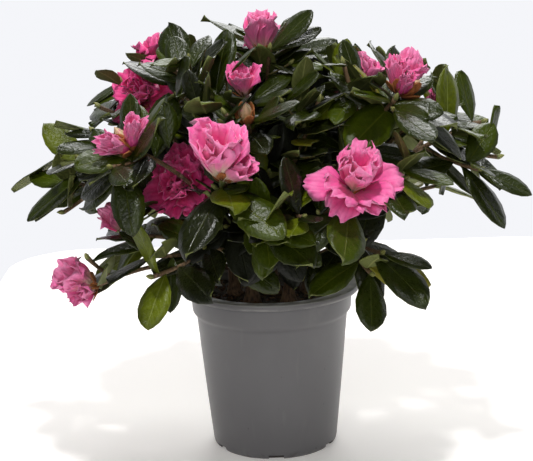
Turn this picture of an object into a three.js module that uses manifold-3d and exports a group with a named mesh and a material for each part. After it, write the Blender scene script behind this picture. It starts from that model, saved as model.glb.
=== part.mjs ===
// A potted rhododendron: a grower's pot of moulded grey plastic filled with peat, a clump of woody stems,
// and a low dome of leafy shoots whose tips carry whorls of leaves, some of them in bud or in flower.
// Millimetres, +Z up, the origin in the middle of the pot's flat underside, the best side towards -Y.
import * as THREE from "three";
import { mergeVertices } from "three/addons/utils/BufferGeometryUtils.js";
import Module from "manifold-3d";

const wasm = await Module();
wasm.setup();

// Driving dimensions of the pot and the peat.
const POT_HEIGHT = 122;
const RIM_RADIUS = 65;
const FOOT_RADIUS = 46.3;
const POT_WALL = 1.6;
const LIP_HEIGHT = 4.5;
const COLLAR_RADIUS = 59.5;
const COLLAR_HEIGHT = 19;
const COLLAR_STEP = 3.6;
const FOOT_ROUNDING = 4;
const POT_SIDES = 28;
const DRAIN_COUNT = 6;
const DRAIN_WIDTH = 11;
const DRAIN_HEIGHT = 3.5;
const PEAT_TOP = 112;
const FIT_GAP = 0.3;
const SLIVER = 0.05;

// Driving dimensions of the wood.
const STEM_SIDES = 6;
const STEM_STEPS = 5;
const STEM_TAPER = 0.32;
const ROOT_FLARE = 0.8;
const ROOT_FLARE_FADE = 6;
const BOUGH_SIDES = 4;
const BOUGH_STEPS = 3;
const BOUGH_RADIUS = 2.3;
const BOUGH_SHARE = 0.64; // of the way from the fork to the tip of the leading shoot
const BOUGH_LIFT = 0.17; // of the limb's length, at its middle
const LOWEST_FORK = 0.44; // of the stem's height
const HIGHEST_FORK = 0.97;

// Driving dimensions of the shoots and leaves.
const SHOOT_SIDES = 3;
const LEADER_STEPS = 3;
const SIDE_STEPS = 2;
const SHOOT_RADIUS = 1.5;
const BUD_RADIUS = 2.1;
const SIDE_SHOOT = { shortest: 36, longest: 58, angle: 48, angleRange: 24, upturn: 0.35 };
const LEAF_LENGTH = 46;
const LEAF_WIDTH = 0.52; // of its length
const LEAF_THICKNESS = 1.2;
const LEAF_FOLD = 0.07; // of its length
const LEAF_DROOP = 0.16; // of its length
const WHORL_DEPTH = 20;
const ROOT_DEPTH = 0.3; // behind the shoot's axis
const LEADER_LEAVES = 6;
const SIDE_LEAVES = 5;
const GOLDEN_ANGLE = 137.508;
const DOME = { foot: 150, height: 166, radius: 196 };
const LEAF_ROOM = 8; // under the dome, above a side shoot's tip
const TIP_REACH = 18;
const SPACE_GAP = 0.8;
const WOOD_CLEARANCE = 1.0;

// The clump's stems: where each leaves the peat, how far it leans out, its height and foot radius.
const STEMS = {
  middle: { azimuth: 80, offset: 4, lean: 5, height: 62, radius: 4.6 },
  front_left: { azimuth: 232, offset: 23, lean: 10, height: 46, radius: 4.0 },
  front_right: { azimuth: 300, offset: 25, lean: 12, height: 44, radius: 3.8 },
  right: { azimuth: 8, offset: 27, lean: 14, height: 58, radius: 3.6 },
  back: { azimuth: 100, offset: 28, lean: 10, height: 50, radius: 4.0 },
  left: { azimuth: 172, offset: 27, lean: 12, height: 44, radius: 3.8 },
};

// The crown: one row for each bough and the mass of foliage that it carries, with its stem. The tip of the
// leading shoot lies at an azimuth (from +X, turning to +Y), a reach from the pot's axis and a height.
// Upturn is how strongly the tip turns to the light, shoots the number of side shoots, and truss what the
// tip bears.
const CROWN = [
  ["low_front", "front_left", 241, 90, 168, 0.2, 2, "none"],
  ["left_centre", "left", 209, 66, 198, 0.3, 2, "open"],
  ["left_front", "front_left", 227, 131, 240, 0.9, 3, "buds"],
  ["front_centre", "front_left", 256, 124, 222, 1.6, 2, "half"],
  ["low_right", "front_right", 318, 92, 166, 0.25, 2, "none"],
  ["front_low", "front_right", 272, 92, 200, 0.4, 3, "none"],
  ["right_front", "front_right", 297, 118, 205, 1.8, 2, "open"],
  ["upper_right", "front_right", 322, 113, 268, 1.0, 3, "cluster"],
  ["low_back_right", "right", 52, 140, 164, 0.4, 2, "buds"],
  ["right_end", "right", 351, 134, 232, 0.5, 3, "none"],
  ["far_right", "right", 20, 134, 238, 0.6, 2, "half"],
  ["back_right", "right", 64, 125, 240, 0.7, 2, "open"],
  ["low_back_left", "back", 132, 138, 186, 0.4, 2, "half"],
  ["back_centre", "back", 92, 138, 220, 0.6, 2, "pair"],
  ["back_left", "back", 140, 98, 270, 1.0, 2, "open"],
  ["top_back", "back", 84, 72, 268, 1.0, 2, "half"],
  ["low_left", "left", 199, 130, 134, 0.9, 1, "half"],
  ["left_low", "left", 170, 104, 154, 1.6, 1, "small"],
  ["left_end", "left", 182, 144, 201, 0.3, 3, "none"],
  ["upper_left", "left", 174, 86, 256, 0.9, 3, "open"],
  ["right_top", "middle", 4, 66, 262, 0.8, 3, "half"],
  ["centre", "middle", 262, 92, 254, 0.7, 2, "bud"],
  ["upper_centre", "middle", 254, 52, 266, 0.9, 3, "small"],
  ["crown_top", "middle", 100, 10, 286, 1.6, 3, "half"],
  ["heart", "middle", 286, 70, 226, 0.5, 3, "none"],
].map(([name, stem, azimuth, reach, height, upturn, shoots, truss]) => {
  return { name, stem, azimuth, reach, height, upturn, shoots, truss };
});

// The flower heads of each truss, the largest first.
const TRUSSES = {
  none: [],
  open: ["open"],
  half: ["half"],
  small: ["small"],
  pair: ["half", "opening"],
  cluster: ["half", "opening", "opening", "bud"],
  buds: ["opening", "opening", "bud"],
  bud: ["bud"],
};
const TRUSS_TILT = 30;

// The flower heads: radii and heights from the stalk to the rim, and the height of the middle above the
// stalk, under the rim where the flower gapes and over it where it is shut. An open flower has spread
// petals about its rim.
const HEADS = {
  open: {
    outline: [[1.4, 0], [3.8, 12], [10, 21]],
    middle: 13,
    spread: { count: 5, length: 24, width: 22, lean: 66 },
  },
  half: { outline: [[1.4, 0], [3.6, 10], [9, 22], [14, 32]], middle: 19 },
  small: { outline: [[1.3, 0], [2.8, 7], [6, 14], [10, 21]], middle: 13 },
  opening: { outline: [[1.3, 0], [3.4, 10], [6, 19], [5, 27]], middle: 23 },
  bud: { outline: [[1.3, 0], [4.2, 8], [3.4, 14]], middle: 19 },
};
const HEAD_SIDES = 5;
const HEAD_TRIES = [1, 0.85, 0.7, 0.55];
const PETAL_THICKNESS = 0.8;

// Colours of the finished surfaces.
const FINISHES = {
  pot: new THREE.MeshStandardMaterial({ color: 0x6b6a6c, roughness: 0.6, metalness: 0 }),
  peat: new THREE.MeshStandardMaterial({ color: 0x2e1d14, roughness: 0.95, metalness: 0 }),
  bark: new THREE.MeshStandardMaterial({ color: 0x5b4130, roughness: 0.85, metalness: 0 }),
  foliage: new THREE.MeshStandardMaterial({ color: 0x33472a, roughness: 0.4, metalness: 0 }),
};

const UP = new THREE.Vector3(0, 0, 1);

const radians = (degrees) => THREE.MathUtils.degToRad(degrees);

// A repeatable stream of numbers from 0 to 1.
function seeded(seed) {
  let state = seed >>> 0;
  return () => {
    state = (Math.imul(1664525, state) + 1013904223) >>> 0;
    return state / 4294967296;
  };
}

// A point at an azimuth and a distance from the pot's axis.
function around(azimuth, reach, height) {
  return new THREE.Vector3(reach * Math.cos(radians(azimuth)), reach * Math.sin(radians(azimuth)), height);
}

// The direction that leans away from an axis by an angle, towards an azimuth about that axis.
function leaning(axis, angle, azimuth) {
  const helper = Math.abs(axis.z) > 0.9 ? new THREE.Vector3(1, 0, 0) : UP;
  const side = new THREE.Vector3().crossVectors(helper, axis).normalize();
  const other = new THREE.Vector3().crossVectors(axis, side);
  const turn = radians(azimuth);
  const away = side.multiplyScalar(Math.cos(turn)).addScaledVector(other, Math.sin(turn));
  const lean = radians(angle);
  return axis.clone().multiplyScalar(Math.cos(lean)).addScaledVector(away, Math.sin(lean));
}

// A closed geometry as a solid that can be joined and cut.
function solid(geometry) {
  const bare = geometry.clone();
  bare.deleteAttribute("normal");
  bare.deleteAttribute("uv");
  const merged = mergeVertices(bare, 1e-4);
  return new wasm.Manifold(
    new wasm.Mesh({
      numProp: 3,
      vertProperties: merged.attributes.position.array,
      triVerts: new Uint32Array(merged.index.array),
    }),
  );
}

// A solid back as a geometry.
function geometryOf(body) {
  const mesh = body.getMesh();
  const geometry = new THREE.BufferGeometry();
  geometry.setAttribute("position", new THREE.BufferAttribute(mesh.vertProperties, 3));
  geometry.setIndex(new THREE.BufferAttribute(mesh.triVerts, 1));
  geometry.computeVertexNormals();
  return geometry;
}

// Pieces joined into one body, with slivers closed up, loose scraps dropped and sealed hollows filled.
function fused(pieces) {
  const bodies = wasm.Manifold.union(pieces).simplify(SLIVER).decompose();
  return bodies.reduce((largest, body) => (body.volume() > largest.volume() ? body : largest));
}

function named(name, geometry, material) {
  const mesh = new THREE.Mesh(geometry, material);
  mesh.name = name;
  return mesh;
}

// A closed round limb along a curve, whose radius is a function of the share of its length.
function limb(curve, radiusAt, sides, steps) {
  const geometry = new THREE.CylinderGeometry(1, 1, 1, sides, steps);
  const frames = curve.computeFrenetFrames(steps);
  const places = geometry.attributes.position;
  const place = new THREE.Vector3();
  for (let i = 0; i < places.count; i++) {
    const step = Math.round((places.getY(i) + 0.5) * steps);
    const radius = radiusAt(step / steps);
    place.copy(curve.getPointAt(step / steps));
    place.addScaledVector(frames.binormals[step], places.getX(i) * radius);
    place.addScaledVector(frames.normals[step], places.getZ(i) * radius);
    places.setXYZ(i, place.x, place.y, place.z);
  }
  return geometry;
}

// A thin blade: a two-step sphere whose equator takes the outline and whose poles give the thickness.
// Along, side and up are the blade's length, width and upper face. The outline runs anticlockwise from
// the root as seen from above, as shares of the length, of the width and, upwards, of the length.
function blade(outline, middle, { root, along, up, length, width, thickness }) {
  const geometry = new THREE.SphereGeometry(1, outline.length, 2);
  const side = new THREE.Vector3().crossVectors(up, along);
  const places = geometry.attributes.position;
  const columns = outline.length + 1;
  for (let i = 0; i < places.count; i++) {
    const row = Math.floor(i / columns);
    const [forth, across, lift] = row === 1 ? outline[(i % columns) % outline.length] : middle;
    const thick = (1 - row) * (thickness / 2);
    const place = root.clone().addScaledVector(along, forth * length);
    place.addScaledVector(side, across * width).addScaledVector(up, lift * length + thick);
    places.setXYZ(i, place.x, place.y, place.z);
  }
  return geometry;
}

// The outline of a leaf: widest past its middle, folded up along its midrib and drooping to its tip.
const LEAF_OUTLINE = [
  [0, 0, 0],
  [0.56, -0.5, LEAF_FOLD - LEAF_DROOP * 0.4],
  [1, 0, -LEAF_DROOP],
  [0.56, 0.5, LEAF_FOLD - LEAF_DROOP * 0.4],
];
const LEAF_MIDDLE = [0.24, 0, -LEAF_DROOP * 0.06];

// The outline of a spread petal: narrow at its root, broad and curling back at its end.
const PETAL_OUTLINE = [
  [0, 0, 0],
  [0.72, -0.5, 0.02],
  [1, 0, -0.12],
  [0.72, 0.5, 0.02],
];
const PETAL_MIDDLE = [0.55, 0, 0.02];

// The pot's wall from the underside up the outside to the lip, and down the inside to the floor.
function potProfile() {
  const collarFoot = POT_HEIGHT - COLLAR_HEIGHT;
  const wallTop = collarFoot - COLLAR_STEP;
  const wallTopRadius = COLLAR_RADIUS - 1 - COLLAR_STEP * 0.8;
  const lipFoot = POT_HEIGHT - LIP_HEIGHT;
  const outside = [
    [FOOT_RADIUS - FOOT_ROUNDING * 0.6, 0],
    [FOOT_RADIUS - FOOT_ROUNDING * 0.15, FOOT_ROUNDING * 0.4],
    [FOOT_RADIUS, FOOT_ROUNDING],
    [wallTopRadius, wallTop],
    [COLLAR_RADIUS - 1, collarFoot],
    [COLLAR_RADIUS, lipFoot],
    [RIM_RADIUS, lipFoot],
    [RIM_RADIUS, POT_HEIGHT - 1],
    [RIM_RADIUS - 1, POT_HEIGHT],
  ];
  const inside = [
    [COLLAR_RADIUS - POT_WALL, POT_HEIGHT],
    [COLLAR_RADIUS - 1 - POT_WALL, collarFoot],
    [wallTopRadius - POT_WALL, wallTop],
    [FOOT_RADIUS - POT_WALL, FOOT_ROUNDING],
    [FOOT_RADIUS - FOOT_ROUNDING, POT_WALL],
  ];
  return { outside, inside };
}

const points = (pairs) => pairs.map(([radius, height]) => new THREE.Vector2(radius, height));

// A solid of revolution about +Z from a profile that starts and ends on the axis.
function turned(profile, sides) {
  return new THREE.LatheGeometry(points(profile), sides).rotateX(Math.PI / 2);
}

function buildPot() {
  const { outside, inside } = potProfile();
  const shell = solid(turned([[0, 0], ...outside, ...inside, [0, POT_WALL]], POT_SIDES));
  const drains = [];
  for (let i = 0; i < DRAIN_COUNT; i++) {
    const slot = new THREE.BoxGeometry(FOOT_ROUNDING * 2.4, DRAIN_WIDTH, DRAIN_HEIGHT * 2);
    const turn = new THREE.Matrix4().makeRotationZ(((i + 0.5) * 2 * Math.PI) / DRAIN_COUNT);
    drains.push(solid(slot.translate(FOOT_RADIUS, 0, 0).applyMatrix4(turn)));
  }
  return named("pot", geometryOf(shell.subtract(wasm.Manifold.union(drains))), FINISHES.pot);
}

// The peat fills the pot from its floor to a flat top, a hair clear of the plastic.
function buildPeat() {
  const { inside } = potProfile();
  const [, , wallTop, wallFoot, floorEdge] = inside;
  const [topRadius] = inside[1];
  const clear = ([radius, height]) => [radius - FIT_GAP, height + FIT_GAP];
  const side = [floorEdge, wallFoot, wallTop].map(clear);
  const profile = [[0, POT_WALL + FIT_GAP], ...side, [topRadius - FIT_GAP, PEAT_TOP], [0, PEAT_TOP]];
  return named("peat", turned(profile, POT_SIDES), FINISHES.peat);
}

// A stem's curve leaves the peat upright and leans out. Grown by the fit gap it cuts its boughs clear.
function stemCurve({ azimuth, offset, lean, height }, extra = 0) {
  const foot = around(azimuth, offset, PEAT_TOP + FIT_GAP);
  const middle = foot.clone().addScaledVector(UP, height * 0.5);
  const tip = foot.clone().add(around(azimuth, height * Math.tan(radians(lean)), height + extra));
  return new THREE.QuadraticBezierCurve3(foot, middle, tip);
}

function stemRadius({ radius, height }, grown = 0) {
  const flare = (share) => ROOT_FLARE * Math.exp((-share * height) / ROOT_FLARE_FADE);
  return (share) => radius * (1 - STEM_TAPER * share + flare(share)) + grown;
}

// Boughs with flatter limbs fork off lower on their stem, and each limb's curve runs on to its shoot's tip.
function growLimbs() {
  const slope = ({ height, reach }) => (height - POT_HEIGHT) / reach;
  return CROWN.map((row) => {
    const siblings = CROWN.filter(({ stem }) => stem === row.stem);
    siblings.sort((one, other) => slope(one) - slope(other));
    const rank = siblings.indexOf(row) / Math.max(1, siblings.length - 1);
    const forkShare = THREE.MathUtils.lerp(LOWEST_FORK, HIGHEST_FORK, rank);
    const fork = stemCurve(STEMS[row.stem]).getPointAt(forkShare);
    const tip = around(row.azimuth, row.reach, row.height);
    const middle = fork.clone().lerp(tip, 0.5).addScaledVector(UP, BOUGH_LIFT * fork.distanceTo(tip));
    const curve = new THREE.QuadraticBezierCurve3(fork, middle, tip);
    return { row, curve };
  });
}

// The stretch of a limb's curve between two shares of its length.
function stretch(curve, start, end) {
  const from = curve.getPointAt(start);
  const to = curve.getPointAt(end);
  const middle = curve.getPointAt((start + end) / 2).multiplyScalar(2);
  middle.addScaledVector(from, -0.5).addScaledVector(to, -0.5);
  return new THREE.QuadraticBezierCurve3(from, middle, to);
}

function boughCurve({ curve }) {
  return stretch(curve, 0, BOUGH_SHARE);
}

function leaderCurve({ curve }) {
  return stretch(curve, BOUGH_SHARE + FIT_GAP / curve.getLength(), 1);
}

const boughRadius = (share) => THREE.MathUtils.lerp(BOUGH_RADIUS, SHOOT_RADIUS, share);

// The line that a mass gathers about: its leading shoot and the way its tip faces.
function withLeader(own) {
  const leader = leaderCurve(own);
  const axis = leader.getTangentAt(1).addScaledVector(UP, own.row.upturn).normalize();
  const leaderLine = [...leader.getPoints(5), leader.getPointAt(1).addScaledVector(axis, TIP_REACH)];
  return { ...own, leader, axis, leaderLine };
}

// The limbs, and the lines of all the wood that leaves keep clear of.
const LIMBS = growLimbs().map(withLeader);
const WOOD = [
  ...Object.values(STEMS).map((stem) => ({ line: stemCurve(stem).getPoints(6), radius: stem.radius })),
  ...LIMBS.map((own) => ({ line: boughCurve(own).getPoints(6), radius: BOUGH_RADIUS })),
];

const scratchLine = new THREE.Line3();
const scratchPoint = new THREE.Vector3();

// How far a point lies from a line of points.
function distanceTo(line, point) {
  let nearest = Infinity;
  for (let i = 1; i < line.length; i++) {
    scratchLine.set(line[i - 1], line[i]).closestPointToPoint(point, true, scratchPoint);
    nearest = Math.min(nearest, scratchPoint.distanceTo(point));
  }
  return nearest;
}

// A mass keeps to the space that is nearer to its own leading shoot than to any other.
function inSpace(point, own) {
  const reach = distanceTo(own.leaderLine, point) + SPACE_GAP;
  return LIMBS.every((other) => other === own || distanceTo(other.leaderLine, point) > reach);
}

// A point is clear of the pot, the stems and the boughs.
function isClear(point) {
  const inPot = point.z < POT_HEIGHT + 1 && Math.hypot(point.x, point.y) < RIM_RADIUS + 1;
  return !inPot && WOOD.every(({ line, radius }) => distanceTo(line, point) > radius + WOOD_CLEARANCE);
}

// A point lies under the dome that the light shapes, with some room to spare.
function underDome({ x, y, z }, room = 0) {
  const rise = (z + room - DOME.foot) / DOME.height;
  return z < DOME.foot || Math.hypot(Math.hypot(x, y) / DOME.radius, rise) < 1;
}

const fits = (samples, own) => samples.every((point) => isClear(point) && inSpace(point, own));

// A place on a blade, from shares of its length, of its width and, upwards, of its length.
function onBlade({ root, along, up, length, width }, [forth, across, lift]) {
  const side = new THREE.Vector3().crossVectors(up, along);
  const place = root.clone().addScaledVector(along, forth * length).addScaledVector(side, across * width);
  return place.addScaledVector(up, lift * length);
}

const cornersOf = (outline, leaf) => outline.map((share) => onBlade(leaf, share));

// The corners of a leaf with its root brought out of the shoot.
function leafCorners(leaf) {
  const [, right, tip, left] = cornersOf(LEAF_OUTLINE, leaf);
  return [onBlade(leaf, [0.2, 0, 0]), right, tip, left];
}

function edgesOf([root, right, tip, left]) {
  return [[root, right], [right, tip], [tip, left], [left, root], [root, tip]];
}

// Whether a line from one point to another runs through the two halves of a leaf.
function pierces([from, to], [root, right, tip, left]) {
  const ray = new THREE.Ray(from, to.clone().sub(from).normalize());
  return [[root, right, tip], [root, tip, left]].some(([one, two, three]) => {
    const hit = ray.intersectTriangle(one, two, three, false, scratchPoint);
    return hit !== null && hit.distanceTo(from) < from.distanceTo(to);
  });
}

function leavesCross(corners, others) {
  const into = edgesOf(corners).some((edge) => pierces(edge, others));
  return into || edgesOf(others).some((edge) => pierces(edge, corners));
}

// A leaf has room where it keeps to its space, no wood runs through it and it crosses no other leaf.
function leafHasRoom(corners, own, placed) {
  const edges = edgesOf(corners);
  const samples = [...corners, ...edges.map(([from, to]) => from.clone().lerp(to, 0.5))];
  if (!corners.every((corner) => underDome(corner)) || !fits(samples, own)) return false;
  const segments = WOOD.flatMap(({ line }) => line.slice(1).map((to, i) => [line[i], to]));
  if (segments.some((segment) => pierces(segment, corners))) return false;
  return !placed.some((other) => leavesCross(corners, other));
}

// The ways a leaf is turned in, swung round and shortened before it is given up.
const LEAF_TRIES = [
  { turn: 0, swing: 0, size: 1 },
  { turn: -16, swing: 24, size: 1 },
  { turn: 8, swing: -30, size: 0.92 },
  { turn: -30, swing: 0, size: 0.88 },
  { turn: 14, swing: 44, size: 0.8 },
  { turn: -24, swing: -52, size: 0.7 },
];

// A whorl of leaves along a shoot's end, the outer ones longer and more open. A leaf that fits nowhere is
// skipped.
function growWhorl({ curve, axis, leaves: count }, own, placed, random) {
  const leaves = [];
  const phase = random() * 360;
  const shootLength = curve.getLength();
  for (let i = 0; i < count; i++) {
    const inner = i / (count - 1);
    const azimuth = phase + i * GOLDEN_ANGLE + (random() - 0.5) * 26;
    const open = THREE.MathUtils.lerp(86, 44, inner) + (random() - 0.5) * 22;
    const length = LEAF_LENGTH * THREE.MathUtils.lerp(1.02, 0.78, inner) * (0.86 + 0.28 * random());
    const seat = curve.getPointAt(1 - (WHORL_DEPTH * (1 - inner) + 2.5) / shootLength);
    for (const { turn, swing, size } of LEAF_TRIES) {
      const along = leaning(axis, open + turn, azimuth + swing).addScaledVector(UP, -0.12).normalize();
      const up = axis.clone().add(UP).addScaledVector(along, -along.dot(axis) - along.z).normalize();
      const root = seat.clone().addScaledVector(along, -ROOT_DEPTH);
      const leaf = { root, along, up, length: length * size, width: length * size * LEAF_WIDTH };
      const corners = leafCorners(leaf);
      if (!leafHasRoom(corners, own, placed)) continue;
      placed.push(corners);
      leaves.push({ ...leaf, thickness: LEAF_THICKNESS });
      break;
    }
  }
  return leaves;
}

// Side shoots leave the leading shoot at the golden angle, and are turned on or skipped where they don't
// fit.
function growSideShoots(own, random) {
  const shoots = [];
  for (let i = 0; i < own.row.shoots; i++) {
    const start = 0.12 + (0.62 * (i + random())) / own.row.shoots;
    const azimuth = i * GOLDEN_ANGLE + random() * 70;
    const angle = SIDE_SHOOT.angle + (random() - 0.5) * SIDE_SHOOT.angleRange;
    const length = THREE.MathUtils.lerp(SIDE_SHOOT.shortest, SIDE_SHOOT.longest, random());
    for (const turn of [0, 70, 140, 210, 280]) {
      const from = own.leader.getPointAt(start);
      const way = leaning(own.leader.getTangentAt(start), angle, azimuth + turn);
      const middle = from.clone().addScaledVector(way, length * 0.5);
      const to = from.clone().addScaledVector(way, length).addScaledVector(UP, length * 0.14);
      const curve = new THREE.QuadraticBezierCurve3(from, middle, to);
      if (!underDome(to, LEAF_ROOM) || !fits(curve.getPoints(6).slice(1), own)) continue;
      const axis = way.clone().addScaledVector(UP, SIDE_SHOOT.upturn + 0.28).normalize();
      shoots.push({ curve, axis, leaves: SIDE_LEAVES, radiusAt: sideRadius, steps: SIDE_STEPS });
      break;
    }
  }
  return shoots;
}

// A shoot swells into a bud among the leaves at its end. A side shoot starts inside the leading shoot.
const leaderRadius = (share) => (share > 0.6 ? BUD_RADIUS : SHOOT_RADIUS);
const sideRadius = (share) => THREE.MathUtils.lerp(SHOOT_RADIUS * 0.6, BUD_RADIUS, share);

// The spread petals of an open flower, rooted inside its funnel.
function spreadPetals({ count, length, width, lean }, rim, axis, rimRadius, size, phase) {
  const petals = [];
  for (let i = 0; i < count; i++) {
    const along = leaning(axis, lean, phase + (i * 360) / count);
    const up = axis.clone().addScaledVector(along, -along.dot(axis)).normalize();
    const root = rim.clone().addScaledVector(along, rimRadius * 0.35);
    root.addScaledVector(axis, -rimRadius * 0.55);
    const blown = { length: length * size, width: width * size, thickness: PETAL_THICKNESS };
    petals.push({ root, along, up, ...blown });
  }
  return petals;
}

// A flower head is made smaller until it fits its space. Its screens are the faces that leaves keep clear
// of.
function growHead(kind, base, axis, own, random) {
  const { outline, spread } = HEADS[kind];
  const phase = random() * 360;
  for (const size of HEAD_TRIES) {
    const [rimRadius, rimHeight] = outline[outline.length - 1].map((share) => share * size);
    const rim = base.clone().addScaledVector(axis, rimHeight);
    const onRim = (turn) => rim.clone().addScaledVector(leaning(axis, 90, turn), rimRadius);
    const edge = [0, 90, 180, 270].map(onRim);
    const petals = spread ? spreadPetals(spread, rim, axis, rimRadius, size, phase) : [];
    const petalScreens = petals.map((petal) => cornersOf(PETAL_OUTLINE, petal));
    const screens = [[base, edge[0], rim, edge[2]], [base, edge[1], rim, edge[3]], ...petalScreens];
    if (fits([...edge, ...petalScreens.flat()], own)) return [{ kind, base, axis, size, petals, screens }];
  }
  return [];
}

// The heads of a truss lean out from the shoot's tip, and a single head follows its axis.
function growTruss(kinds, own, random) {
  const base = own.leader.getPointAt(1).addScaledVector(own.axis, -1.5);
  const phase = random() * 360;
  const tilt = kinds.length === 1 ? 0 : TRUSS_TILT;
  return kinds.flatMap((kind, i) => {
    const axis = leaning(own.axis, tilt, phase + (i * 360) / kinds.length);
    return growHead(kind, base, axis, own, random);
  });
}

// The growth of one mass by its own seed: the shoots first, then the flowers, then the leaves.
function growMass(own, index) {
  const random = seeded(1000 + 37 * index);
  const bearing = { leaves: LEADER_LEAVES, radiusAt: leaderRadius, steps: LEADER_STEPS };
  const leading = { curve: own.leader, axis: own.axis, ...bearing };
  const shoots = [leading, ...growSideShoots(own, random)];
  const heads = growTruss(TRUSSES[own.row.truss], own, random);
  const placed = heads.flatMap(({ screens }) => screens);
  const leaves = shoots.flatMap((shoot) => growWhorl(shoot, own, placed, random));
  return { shoots, heads, leaves };
}

// A flower head's solids: a funnel or shut bud, and its spread petals.
function headPieces({ kind, base, axis, size, petals }) {
  const { outline, middle } = HEADS[kind];
  const sized = ([radius, height]) => [radius * size, height * size];
  const profile = [[0, 0], ...outline, [0, middle]].map(sized);
  const toAxis = new THREE.Quaternion().setFromUnitVectors(UP, axis);
  const funnel = turned(profile, HEAD_SIDES).applyQuaternion(toAxis).translate(base.x, base.y, base.z);
  return [funnel, ...petals.map((petal) => blade(PETAL_OUTLINE, PETAL_MIDDLE, petal))];
}

// One mass of foliage: the leading shoot and its side shoots, with their leaves and flowers fused on.
function buildMass(own, index) {
  const { shoots, heads, leaves } = growMass(own, index);
  const pieces = [
    ...shoots.map(({ curve, radiusAt, steps }) => limb(curve, radiusAt, SHOOT_SIDES, steps)),
    ...leaves.map((leaf) => blade(LEAF_OUTLINE, LEAF_MIDDLE, leaf)),
    ...heads.flatMap(headPieces),
  ];
  return named("mass_" + own.row.name, geometryOf(fused(pieces.map(solid))), FINISHES.foliage);
}

function buildStem(name) {
  const stem = STEMS[name];
  const whole = limb(stemCurve(stem), stemRadius(stem), STEM_SIDES, STEM_STEPS);
  return named("stem_" + name, whole, FINISHES.bark);
}

function buildBough(own) {
  const stem = STEMS[own.row.stem];
  const room = solid(limb(stemCurve(stem, FIT_GAP), stemRadius(stem, FIT_GAP), STEM_SIDES, STEM_STEPS));
  const whole = solid(limb(boughCurve(own), boughRadius, BOUGH_SIDES, BOUGH_STEPS));
  return named("bough_" + own.row.name, geometryOf(fused([whole.subtract(room)])), FINISHES.bark);
}

const plant = new THREE.Group();
plant.name = "potted_rhododendron";
plant.add(buildPot(), buildPeat());
plant.add(...Object.keys(STEMS).map(buildStem));
plant.add(...LIMBS.map(buildBough));
plant.add(...LIMBS.map(buildMass));

export default plant;
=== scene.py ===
"""A potted rhododendron in bud and flower, dressed over its solids.

A grower's pot of moulded grey plastic holds peat, a clump of woody stems and a low dome of leafy shoots.
The limbs, shoots, flowers and leaves grow here by the same seeded rule as the solids, and are carried on
to finer twigs and more leaves inside the same crown. The rule works in millimetres and the meshes are
written in metres, +Z up, with the origin in the middle of the pot's flat underside.
"""

import logging
import math
from collections.abc import Callable, Iterable, Sequence
from dataclasses import dataclass, field, replace
from enum import Enum
from functools import cached_property

import bmesh
import bpy
import numpy as np
from mathutils import Matrix, Vector


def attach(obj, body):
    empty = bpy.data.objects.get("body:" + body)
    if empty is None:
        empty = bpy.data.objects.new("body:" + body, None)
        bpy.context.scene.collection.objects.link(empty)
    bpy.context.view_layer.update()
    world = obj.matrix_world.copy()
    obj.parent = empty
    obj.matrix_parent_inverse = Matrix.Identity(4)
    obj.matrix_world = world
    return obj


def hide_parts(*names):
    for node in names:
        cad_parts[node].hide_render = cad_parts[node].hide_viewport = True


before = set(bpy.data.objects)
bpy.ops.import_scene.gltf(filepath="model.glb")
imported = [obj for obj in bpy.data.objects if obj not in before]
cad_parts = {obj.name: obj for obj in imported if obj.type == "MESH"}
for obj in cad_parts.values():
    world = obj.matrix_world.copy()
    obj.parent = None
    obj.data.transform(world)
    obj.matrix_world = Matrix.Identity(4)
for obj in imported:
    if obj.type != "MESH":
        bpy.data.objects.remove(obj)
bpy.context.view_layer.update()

LOG = logging.getLogger("rhododendron")
Array = np.ndarray
Shape = bmesh.types.BMesh
Material = bpy.types.Material
Mesh = bpy.types.Mesh
Colour = tuple[float, float, float]

MM = 0.001
BODY = "root"
SURFACE_MAP = "Surface"
UP = np.array((0.0, 0.0, 1.0))
GOLDEN_ANGLE = 137.508
TIMES = np.linspace(0.0, 1.0, 201)
# Where the crown is seen from, and how near a root lies to the twig that bears it
FRONT = np.array((0.0, -0.973, 0.230))
VIEWER = np.array((-2.3, -1051.0, 409.2))
HOLD = 2.5


# Small helpers


def unit(way: Array) -> Array:
    """A direction brought to length one."""
    return way / np.linalg.norm(way)


def lerp(first: float, second: float, share: float) -> float:
    """The value a share of the way from the first to the second."""
    return first + (second - first) * share


def around(azimuth: float, reach: float, height: float) -> Array:
    """A point at an azimuth in degrees and a distance from the pot's axis."""
    turn = math.radians(azimuth)
    return np.array((reach * math.cos(turn), reach * math.sin(turn), height))


def leaning(axis: Array, angle: float, azimuth: float) -> Array:
    """The direction that leans away from an axis, towards an azimuth about that axis.

    Args:
        axis: The unit direction that is leaned away from.
        angle: How far it leans, in degrees.
        azimuth: Where about the axis it leans to, in degrees.

    Returns:
        The leaning unit direction.
    """
    helper = np.array((1.0, 0.0, 0.0)) if abs(axis[2]) > 0.9 else UP
    side = unit(np.cross(helper, axis))
    other = np.cross(axis, side)
    turn = math.radians(azimuth)
    away = side * math.cos(turn) + other * math.sin(turn)
    return axis * math.cos(math.radians(angle)) + away * math.sin(math.radians(angle))


def across(way: Array, along: Array) -> Array:
    """The unit part of a direction that stands square to another one."""
    return unit(way - along * float(np.dot(along, way)))


def paint(red: int, green: int, blue: int) -> Colour:
    """A colour as it shows on a screen, from 0 to 255, as the linear colour that a shader takes."""
    shares = (value / 255 for value in (red, green, blue))
    return tuple(((share + 0.055) / 1.055) ** 2.4 if share > 0.04045 else share / 12.92 for share in shares)


def scaled(colour: Colour, factor: float) -> Colour:
    """A colour made lighter or darker."""
    return tuple(min(1.0, v * factor) for v in colour)


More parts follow.
